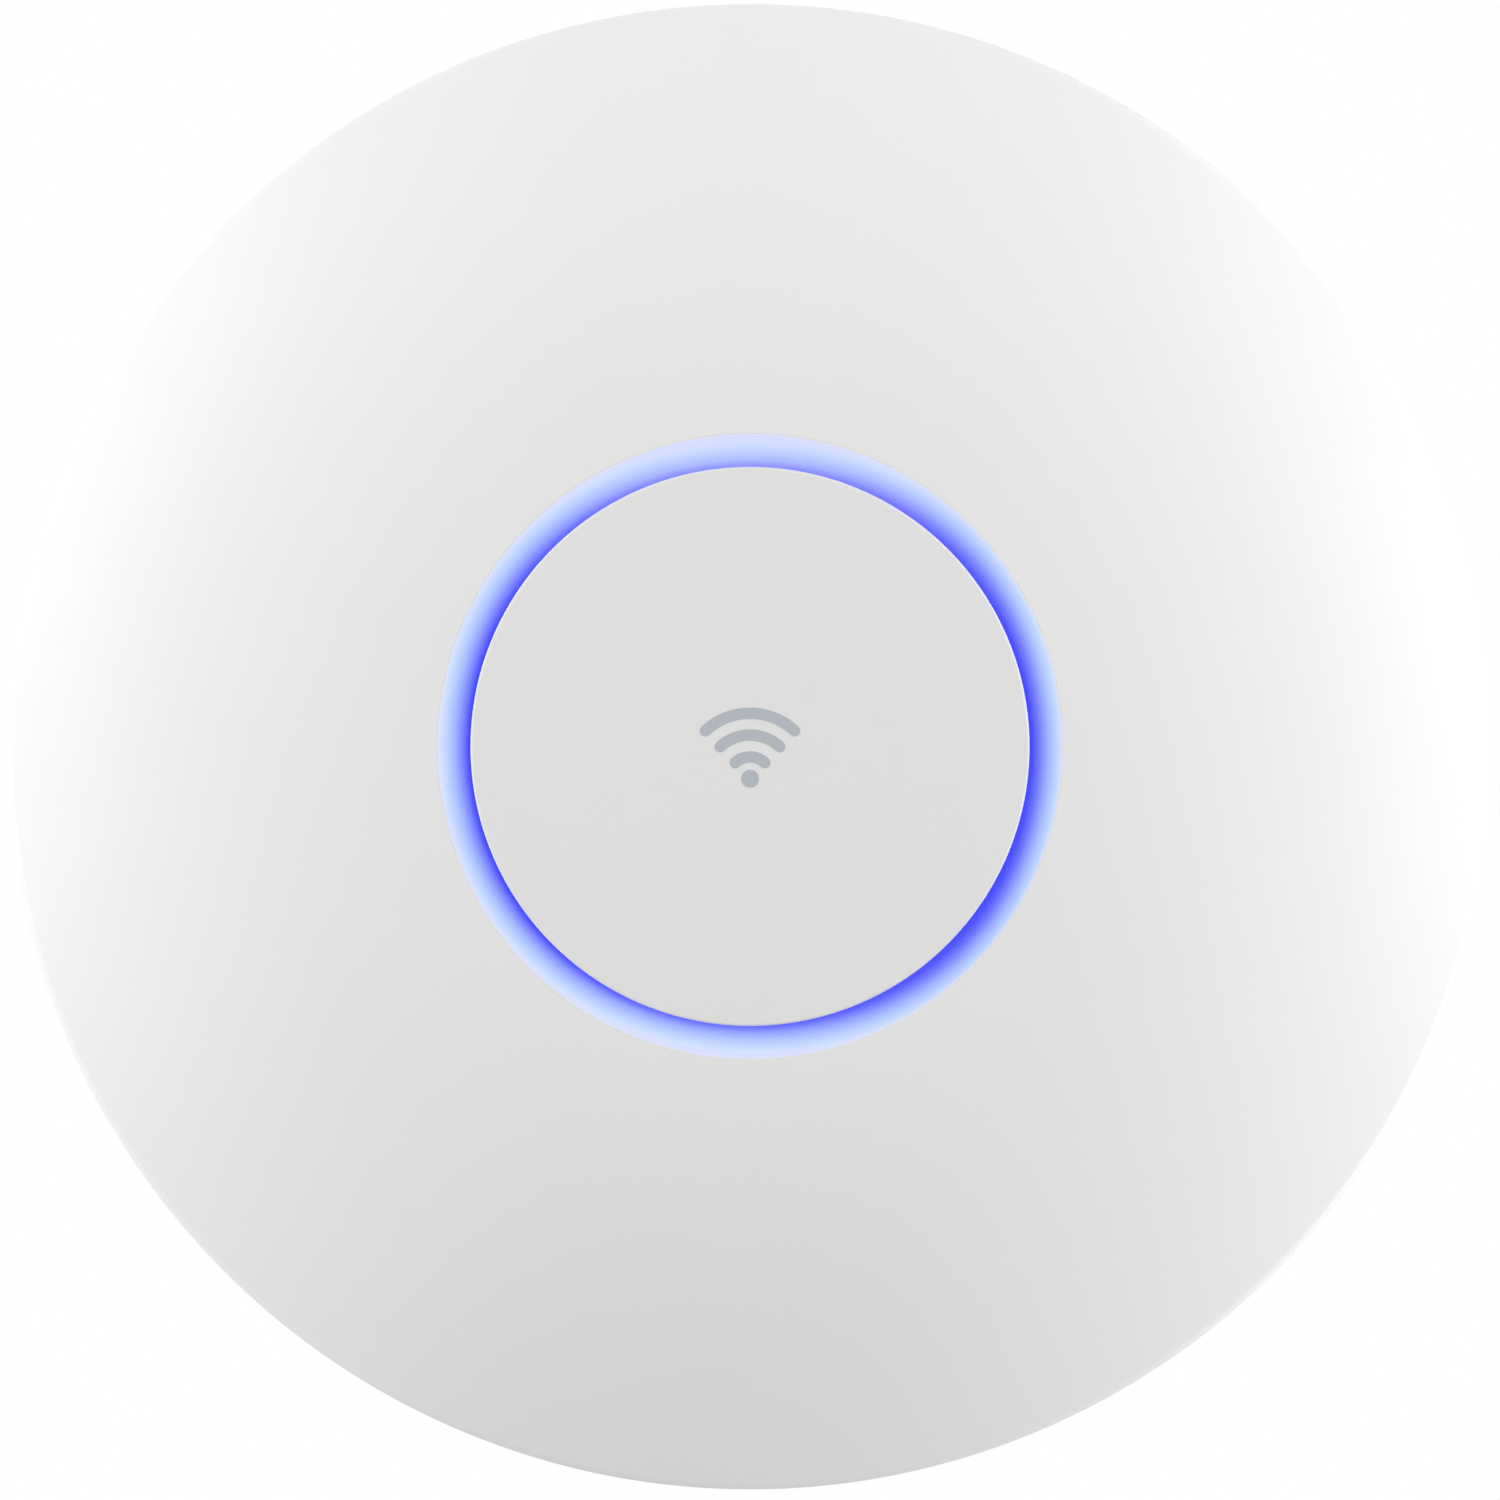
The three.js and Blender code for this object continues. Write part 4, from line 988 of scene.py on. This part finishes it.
def make_bracket():
    under, skirt = -BRACKET_PLATE, BRACKET_RADIUS - 2
    profile = [(0, under), (skirt, under, 0.4), (skirt, BRACKET_FOOT, 0.25)]
    profile += [(BRACKET_RADIUS, BRACKET_FOOT, 0.25), (BRACKET_RADIUS, 0, 0.5), (0, 0)]
    rib = tube(20.5, 22, -4, under + 0.1, 0.3, 96)
    levels = plate(BRACKET_FOOT, TAB_TOP, 0.2)
    tabs = sectors(BRACKET_RADIUS - 1, TAB_REACH, BAYONET_ANGLES, BAYONET_HALF, 0.8, levels)
    gap = loft(sector(46, 51, LATCH_ROOT - 4.5, LATCH_ANGLE + 5, 0.5), plate(BRACKET_FOOT - 1, under, 0))
    rivet = cylinder(1.2, BRACKET_FOOT + 0.1, under + 0.1, 0.2, 32, LATCH_PIVOT)
    body = join(cut(join(turned(profile, 256, 5), rib, *tabs), gap), rivet)

    through = [loft(rectangle(-12, 25, 12, 45, 4, 8), opening(under, 0, 0.3, 0.7))]
    for angle in (0, 180, 270):
        through.append(loft(arc_slot(33, 2.1, angle - 12, angle + 12), opening(under, 0, 0.2, 0.8)))
    for start, end in ((18, 62), (118, 162), (200, 238), (302, 340)):
        through.append(loft(arc_slot(42.5, 1.8, start, end, 36), opening(under, 0, 0.2, 0.35)))
    grooves = [tube(r, r + 0.9, -0.35, PAST, 0, 192) for r in (24, 37.4)]
    tip, tail = BRACKET_RADIUS - 1.2, BRACKET_RADIUS - 4.2
    arrow = loft(rounded([(tip, 0), (tail, 1.7), (tail, -1.7)], 0.2), plate(-0.3, PAST, 0))
    ticks = [
        moved(loft(rectangle(10, -0.3, 21, 0.3, 0.29, 3), plate(-0.25, PAST, 0)), turn=angle)
        for angle in (0, 90, 180, 270)
    ]
    hub = [cylinder(3.2, -0.4, PAST), cylinder(1.4, under - 1, PAST, 0, 40)]
    body = cut(body, *through, *grooves, moved(arrow, turn=MARK_ANGLE), *ticks, *hub)
    link("bracket_plate", body, "mounting_bracket", "bracket_plastic", body="bracket")


def make_latch():
    top, foot = -BRACKET_PLATE - GAP, BRACKET_FOOT + 0.1
    arm = sector(LATCH_RADIUS - 0.6, LATCH_RADIUS + 0.6, LATCH_ROOT, LATCH_ANGLE + 2.4, 0.3)
    half, shoulder = NOSE_HALF - NOSE_CHAMFER, -NOSE_TIP + NOSE_CHAMFER
    nose = [(-NOSE_HALF, shoulder, 0.3), (-half, -NOSE_TIP, 0.3), (half, -NOSE_TIP, 0.3)]
    nose += [(NOSE_HALF, shoulder, 0.3), (NOSE_HALF, -LATCH_RADIUS, 0.2), (-NOSE_HALF, -LATCH_RADIUS, 0.2)]
    body = join(
        loft(arm, plate(foot, top, 0.12)),
        loft(circle(2.4, 48, LATCH_PIVOT), plate(foot, top, 0.15)),
        loft(rounded(nose), plate(foot, TAB_TOP, 0.15)),
    )
    body = cut(body, loft(circle(1.5, 32, LATCH_PIVOT), opening(foot, top)))
    link("latch_spring", body, "release_latch", "spring_steel", body="latch")


def make_label():
    """Blank film with plain printed bars in place of its text."""
    foot = extent("rating_label", 2)[0]
    top = foot + 0.3
    film = loft(rectangle(-40, -17, -18, 13, 2), plate(foot, top, 0.08))
    link("rating_label_film", film, "rating_label", "label_film")
    ink = plate(top - 0.05, top + 0.02, 0)
    bars = []
    for i, length in enumerate((15, 17, 12, 16, 9)):
        y = 9 - 3.2 * i
        bars.append(loft(rectangle(-38, y, -38 + length, y + 1.1, 0.2, 2), ink))
    frame_line = loft(rectangle(-39, -15.8, -19, -8, 0.8), ink)
    inner = loft(rectangle(-38.7, -15.5, -19.3, -8.3, 0.6), plate(top - 0.2, top + 0.2, 0))
    mesh = gathered([*bars, cut(frame_line, inner)])
    link("rating_label_bars", mesh, None, "label_film", look="label_ink")


# ---- screws

THREAD_PITCH = 0.7


def screw_mesh(drive, seat, tip):
    """Pan-head screw on the axis, with a tapered cross recess and a rolled thread."""
    head, end = abs(seat - drive), abs(tip - drive)
    profile = [(0, 0), (1.7, 0.05, 0.8), (2.5, 0.62, 0.3), (2.5, head, 0.12), (0.9, head, 0.1)]
    for i in range(round((end - head - 1.6) / THREAD_PITCH)):
        z = head + 0.5 + i * THREAD_PITCH
        profile += [(0.82, z), (1.0, z + THREAD_PITCH / 2)]
    profile += [(0.82, end - 0.9), (0.15, end), (0, end)]
    wide, thin = 1.4, 0.35
    quarter_cross = [(thin, -wide), (thin, -thin), (wide, -thin)]
    cross = []
    for _ in range(4):
        cross += quarter_cross
        quarter_cross = [(-y, x) for x, y in quarter_cross]
    recess = loft(rounded(cross, 0.08, 2), [(-PAST, 0), (0.1, 0), (head * 0.62, -0.16)])
    return moved(cut(turned(profile, 48), recess), (0, 0, drive), tilt=("X", 0 if tip > drive else 180))


def make_screws():
    head, touch = 1.35, 0.05
    for kind, places, seat, side, tip, spin in (
        ("cover_screw", PILLARS, RECESS_FLOOR, 1, -17, 17),
        ("board_screw", BOARD_SCREWS, BOARD_FOOT, -1, -9.2, 23),
    ):
        for i, at in enumerate(places):
            mesh = screw_mesh(seat + side * (touch + head), seat + side * touch, tip)
            name = f"{kind}_{i + 1}"
            link(name + "_steel", moved(mesh, at, spin * i), name, "screw_steel")


# ---- jack


def make_jack():
    half = extent("jack_shield", 0)[1]
    back, mouth = extent("jack_shield", 1)
    foot, top = extent("jack_shield", 2)
    sheet = 0.35
    shell = loft(rectangle(-half, back, half, mouth, 0.35), plate(foot, top, 0, 0.3))
    hollow = rectangle(-half + sheet, back + sheet, half - sheet, mouth + 5, 0.2)
    windows, tongues = [], []
    for x in (-5, 5):
        window = rectangle(x - 1.1, mouth - 7.5, x + 1.1, mouth - 2.2, 0.3)
        windows.append(loft(window, opening(top - sheet, top)))
        tongue = loft(rectangle(x - 0.8, 0, x + 0.8, 4.8, 0.2), plate(-sheet, -0.05, 0))
        tongues.append(moved(tongue, (0, mouth - 7.6, top), tilt=("X", -3.5)))
    shell = cut(shell, loft(hollow, plate(foot - 1, top - sheet, 0)), *windows)
    link("jack_shield_can", gathered([shell, *tongues]), "jack_shield", "tin_plate")

    inset = sheet + GAP
    side, rear, roof, front = half - inset, back + inset, top - inset, mouth - GAP
    plug_half, plug_floor, plug_roof = 5.95, -18.0, -11.3
    lever = 3.1
    body = loft(rectangle(-side, rear, side, front, 0.2), plate(foot, roof, 0, 0.2))
    # Drawn as seen from the mouth, so that its edges flare towards the plug.
    plug = rectangle(-plug_half, -plug_roof, plug_half, -plug_floor, 0.3)
    plug = moved(loft(plug, opening(rear + 1.4, front, None, 0.35)), tilt=("X", -90))
    key = loft(rectangle(-lever, rear + 6, lever, mouth + 5, 0.1), plate(plug_roof - 1, roof + 1, 0))
    link("jack_housing_moulding", cut(body, plug, key), "jack_housing", "black_plastic")

    bar = loft(rectangle(-5.2, 4.5, 5.2, 5.6, 0.2), plate(-17.5, -15, 0.15))
    path = [(5.2, -15.6), (7, -15.75), (10, -16.3), (13, -17.0), (14.4, -17.45)]
    wires = [wire([((i - 3.5) * 1.02, y, z) for y, z in path], 0.2) for i in range(8)]
    link("jack_contact_wires", gathered([bar, *wires]), "jack_contacts", "gold_plate")


# ---- light path


LED_ANGLES = [22.5 + 45 * i for i in range(8)]


def make_light_path():
    foot, top = extent("light_carrier", 2)
    inside, outside, flange = CAP_RADIUS - 0.7, RING_RADIUS - 0.6, RING_BACK + GAP
    wall, web = 1.3, 1.2
    profile = [(inside - wall, top), (inside - wall, foot), (inside, foot), (inside, top - web)]
    profile += [(outside, top - web), (outside, flange), (outside + wall, flange), (outside + wall, top)]
    windows = sectors(inside + 0.1, outside - 0.3, LED_ANGLES, 4.8, 0.5, opening(top - web, top, 0, 0.2))
    carrier = cut(revolve(rounded(profile, 0.2, 3), 192), *windows)
    link("light_carrier_channel", carrier, "light_carrier", "black_plastic")

    inner, outer = CAP_RADIUS - 0.4, RING_RADIUS - 1.0
    foot, top = extent("light_guide", 2)
    guide = turned([(inner, foot, 0.15), (outer, foot, 0.15), (outer, top, 0.6), (inner, top, 0.6)], 192, 5)
    link("light_guide_ring", guide, "light_guide", "clear_plastic")

    at = (CAP_RADIUS + 1, 0)
    for i, angle in enumerate(LED_ANGLES):
        name = f"status_led_{i + 1}"
        foot, top = extent(name, 2)
        well = loft(around(at, 1.8, 2.4, 0.5), opening(foot, foot + 0.45, 0.2, None))
        package = cut(slab(at, 2.6, 3.4, 0.3, foot, top, 0.1, 0), well)
        link(name + "_package", moved(package, turn=angle), name, "led_package")
        lens = slab(at, 1.7, 2.3, 0.45, foot + 0.15, foot + 0.42, 0.1, 0)
        link(name + "_window", moved(lens, turn=angle), None, "led_package", look="led_phosphor")


# ---- board

BOARD_RADIUS = 54.0
CAN_TOP = -17.3
TOUCH = 0.05  # clearance of parts that rest on each other
ON_BOARD = BOARD_TOP + TOUCH
PEDESTAL_FOOT = -16.3
CANS = {
    "processor": ((0, -20), (30, 22)),
    "left_radio": ((-32, 2), (20, 24)),
    "right_radio": ((32, 2), (20, 24)),
}


def make_board():
    through = opening(BOARD_FOOT, BOARD_TOP)
    drills = [loft(circle(PILLAR_THICK + 0.4, 48, at), through) for at in PILLARS]
    drills += [loft(circle(SCREW_HOLE, 32, at), through) for at in BOARD_SCREWS]
    board = cut(loft(circle(BOARD_RADIUS, 192), plate(BOARD_FOOT, BOARD_TOP, 0.06)), *drills)
    link("main_board_laminate", board, "main_board", "circuit_board")


def chip_rows():
    """(x, y, length, width, turn) of the small parts on the board's upper side, kept off the big ones."""
    rows = [(x, -33.4, 1.6, 0.8, 90) for x in range(-14, 15, 4)]
    for side in (-1, 1):
        for i in range(6):
            rows.append((side * 18.5, -29 + 3.4 * i, 1.6, 0.8, 0))
            rows.append((side * 44.6, -7 + 3.2 * i, 1.6, 0.8, 90))
        for i in range(4):
            rows.append((side * (24 + 4 * i), -14.5, 1.2, 0.6, 90))
            rows.append((side * (23 + 4 * i), 15.8, 1.2, 0.6, 0))
    rows += [(*polar(50.5, angle), 2.0, 1.2, angle) for angle in range(60, 121, 10)]
    rows += [(*polar(48.5, angle), 1.6, 0.8, angle) for angle in range(238, 303, 8)]
    return rows


def make_small_parts():
    """Chip resistors, small ICs and their solder, standing on the board in rows."""
    bodies, ends = [], []
    for x, y, length, width, turn in chip_rows():
        top = BOARD_TOP + 0.45 * width + 0.2
        body = slab((0, 0), length * 0.62, width, 0.05, BOARD_TOP + 0.02, top, 0.04)
        bodies.append(moved(body, (x, y), turn))
        for side in (-0.4, 0.4):
            size = length * 0.22, width + 0.06, 0.05
            end = slab((side * length, 0), *size, BOARD_TOP, top + 0.02, 0.04)
            ends.append(moved(end, (x, y), turn))
    for x, y, size in ((-22, -24, 5), (23, -23, 6), (33, 31, 4), (-34, 31, 5)):
        bodies.append(slab((x, y), size, size, 0.15, BOARD_TOP + 0.1, BOARD_TOP + 1, 0.08))
        for turn in (0, 90, 180, 270):
            for k in range(5):
                at = (size / 2 + 0.25, (k - 2) * size * 0.17)
                pin = slab(at, 0.7, 0.3, 0.06, BOARD_TOP, BOARD_TOP + 0.22, 0.04)
                ends.append(moved(pin, (x, y), turn))
    link("board_small_bodies", gathered(bodies), None, "black_plastic", look="chip_ceramic")
    link("board_small_terminals", gathered(ends), None, "tin_plate")


def make_cans():
    """Shield can, chip and thermal pad of the processor and of each radio."""
    sheet = 0.4
    for name, (at, (length, width)) in CANS.items():
        outer = slab(at, length, width, 0.8, ON_BOARD, CAN_TOP, 0, 0.35)
        hollow = around(at, length - 2 * sheet, width - 2 * sheet, 0.5)
        notches = []
        for side in (-1, 1):
            for i in range(5):
                notch_at = (at[0] + (i - 2) * length / 5.5, at[1] + side * width / 2)
                notches.append(slab(notch_at, 1.4, 2 * sheet + 0.6, 0.1, ON_BOARD + 0.9, ON_BOARD + 1.5, 0))
        can = cut(outer, loft(hollow, plate(ON_BOARD - 1, CAN_TOP - sheet, 0)), *notches)
        link(f"{name}_shield_can", can, f"{name}_shield", "tin_plate")

        chip = slab(at, length * 0.5, width * 0.55, 0.3, ON_BOARD, ON_BOARD + 1.5, 0.12)
        dot_at = (at[0] - length * 0.25 + 1.1, at[1] - width * 0.275 + 1.1)
        dot = cylinder(0.45, ON_BOARD + 1.4, ON_BOARD + 2, 0, 24, dot_at)
        link(f"{name}_chip_package", cut(chip, dot), f"{name}_chip", "black_plastic")

        foot, top = CAN_TOP + TOUCH, PEDESTAL_FOOT - TOUCH
        bulge = [(foot, -0.15), (foot + 0.12, 0), ((foot + top) / 2, 0.12), (top - 0.12, 0), (top, -0.15)]
        pad = loft(around(at, length - 8, width - 8, 0.7), bulge)
        link(f"{name}_pad_gel", pad, f"{name}_pad", "thermal_pad")


def make_heat_spreader():
    """Plate with a dish pressed down over each can and a sleeve for each board screw."""
    sheet = SPREADER_TOP - SPREADER_FOOT
    tray = POCKET_HALF + FLOOR + GAP
    jack, back = extent("jack_shield", 0)[1] + 0.4, extent("jack_shield", 1)[0] - 0.4
    through = opening(SPREADER_FOOT, SPREADER_TOP, 0.2, 0.2)
    cutters = [
        loft(rectangle(-tray, POCKET_START - FLOOR - GAP, tray, 60, 1), through),
        loft(rectangle(-jack, back, jack, 30, 0.6), through),
        loft(circle(1.3, 32, RESET_AT), opening(SPREADER_FOOT, SPREADER_TOP, 0.15, 0.15)),
    ]
    cutters += [loft(circle(PILLAR_THICK + 0.7, 48, at), through) for at in PILLARS]
    body = cut(loft(circle(48, 160), plate(SPREADER_FOOT, SPREADER_TOP, 0.4)), *cutters)
    for at, size in CANS.values():
        length, width = (side - 6 for side in size)
        dish = slab(at, length, width, 2, PEDESTAL_FOOT, SPREADER_TOP - 0.2, 0.6, 0)
        inner = around(at, length - 2 * sheet, width - 2 * sheet, 1)
        body = cut(join(body, dish), loft(inner, opening(PEDESTAL_FOOT + sheet, SPREADER_TOP, None, 0.6)))
    for at in BOARD_SCREWS:
        body = join(body, cylinder(3, BOARD_TOP + GAP, SPREADER_TOP - 0.1, 0.2, 48, at))
        body = cut(body, cylinder(SCREW_HOLE, BOARD_TOP - 1, SPREADER_TOP + 1, 0, 32, at))
    link("heat_spreader_plate", body, "heat_spreader", "spreader_aluminium")


def make_antennas():
    """Slotted plates under the board, each on a feed leg and two shorting legs."""
    inner, outer = 41, 50
    foot, top = -25.4, -24.9
    leg_levels = plate(foot + 0.05, BOARD_FOOT - TOUCH, 0.05)
    for i, (angle, half) in enumerate({0: 9.5, 90: 6, 180: 9.5, 270: 6}.items()):
        sheet = loft(rectangle(inner, -half, outer, half, 0.5), plate(foot, top, 0.12))
        legs = [
            loft(rectangle(x, y, x + 0.6, y + 1.8, 0.1), leg_levels)
            for x, y in ((inner, -half), (inner, 3.6 - half), (outer - 0.6, half - 3))
        ]
        slot = rectangle(inner + 3.2, 3 - half, inner + 4.8, half + 1, 0.4)
        name = f"antenna_{i + 1}"
        body = cut(join(sheet, *legs), loft(slot, opening(foot, top, 0.08, 0.08)))
        link(name + "_stamping", moved(body, turn=angle), name, "antenna_brass")


# ---- other parts on the board


def make_power_parts():
    core = slab((0, -3.2), 16, 9, 0.4, ON_BOARD, ON_BOARD + 5, 0.3)
    link("lan_transformer_case", core, "lan_transformer", "black_plastic")
    legs = []
    for side in (-1, 1):
        bend = [(side * 4.3, 1.4), (side * 4.7, 1.3), (side * 4.85, 0.2)]
        for i in range(8):
            legs.append(wire([((i - 3.5) * 1.8, y - 3.2, ON_BOARD + z) for y, z in bend], 0.18, 8))
    link("lan_transformer_legs", gathered(legs), None, "tin_plate")

    x, y = at = (-24, 22)
    halves = [slab(at, 12, 12, 0.5, ON_BOARD + z, ON_BOARD + z + 1.3, 0.15) for z in (0, 4.9)]
    posts = [slab((x + dx, y), 1.8, 12, 0.4, ON_BOARD + 1.0, ON_BOARD + 5.2, 0) for dx in (-5.1, 5.1)]
    link("power_transformer_core", join(*halves, *posts), "power_transformer", "ferrite")
    loop = rectangle(x - 3.9, y - 5.4, x + 3.9, y + 5.4, 2.4, 6)
    coil = [wire([(*p, ON_BOARD + 1.65 + 0.58 * i) for p in [*loop, *loop[:2]]], 0.28, 8) for i in range(6)]
    link("power_transformer_winding", gathered(coil), None, "antenna_brass", look="winding_copper")

    x, y = at = (-14.5, 10)
    block = slab(at, 11.5, 11.5, 1.4, ON_BOARD + 0.1, ON_BOARD + 5.4, 0.5)
    link("power_inductor_core", block, "power_inductor", "ferrite")
    pads = [slab((x + dx, y), 1.6, 5, 0.2, ON_BOARD, ON_BOARD + 0.5, 0.1) for dx in (-4.9, 4.9)]
    link("power_inductor_pads", gathered(pads), None, "tin_plate")

    top = ON_BOARD + 5.8
    profile = [
        (0, ON_BOARD),
        (3.0, ON_BOARD, 0.2),
        (3.15, ON_BOARD + 0.6, 0.2),
        (2.95, ON_BOARD + 1.0, 0.15),
        (3.15, ON_BOARD + 1.4, 0.2),
        (3.15, top, 0.45),
        (2.3, top, 0.1),
        (2.2, top - 0.12, 0.05),
        (0, top - 0.12),
    ]
    for i, at in enumerate(((21.5, 22), (29.5, 22))):
        name = f"capacitor_{i + 1}"
        slits = [slab(at, *size, 0.05, top - 0.3, top + 1, 0) for size in ((3.2, 0.14), (0.14, 3.2))]
        link(name + "_can", cut(turned(profile, 64, 4, at), *slits), name, "spreader_aluminium")


def make_reset():
    foot, top = extent("reset_plunger", 2)
    case = slab(RESET_AT, 6, 6, 0.4, ON_BOARD, top - 0.9, 0.12)
    well = cylinder(1.9, foot - 0.7, top, 0, 48, RESET_AT)
    link("reset_switch_case", cut(case, well), "reset_switch", "black_plastic")
    plunger = cylinder(1.6, foot, top, 0.25, 48, RESET_AT)
    link("reset_plunger_stem", plunger, "reset_plunger", "black_plastic", body="reset_pin")
    foot, top = extent("reset_button", 2)
    head = -10.3
    profile = [(0, foot), (1, foot, 0.3), (1, head, 0.15), (1.7, head, 0.15), (1.7, top, 0.3)]
    profile += [(0.5, top, 0.2), (0, top - 0.2)]
    button = turned(profile, 48, 3, RESET_AT)
    link("reset_button_pin", button, "reset_button", "rear_plastic", body="reset_pin")


# ---- build

make_camera()
make_floor()
make_lights()
make_world()
LOOKS = make_looks()
make_front_cover()
make_light_ring()
make_centre_cap()
make_mark()
make_rear_cover()
make_cable_tray()
make_cable_cover()
make_bracket()
make_latch()
make_label()
make_screws()
make_jack()
make_light_path()
make_board()
make_small_parts()
make_cans()
make_heat_spreader()
make_antennas()
make_power_parts()
make_reset()
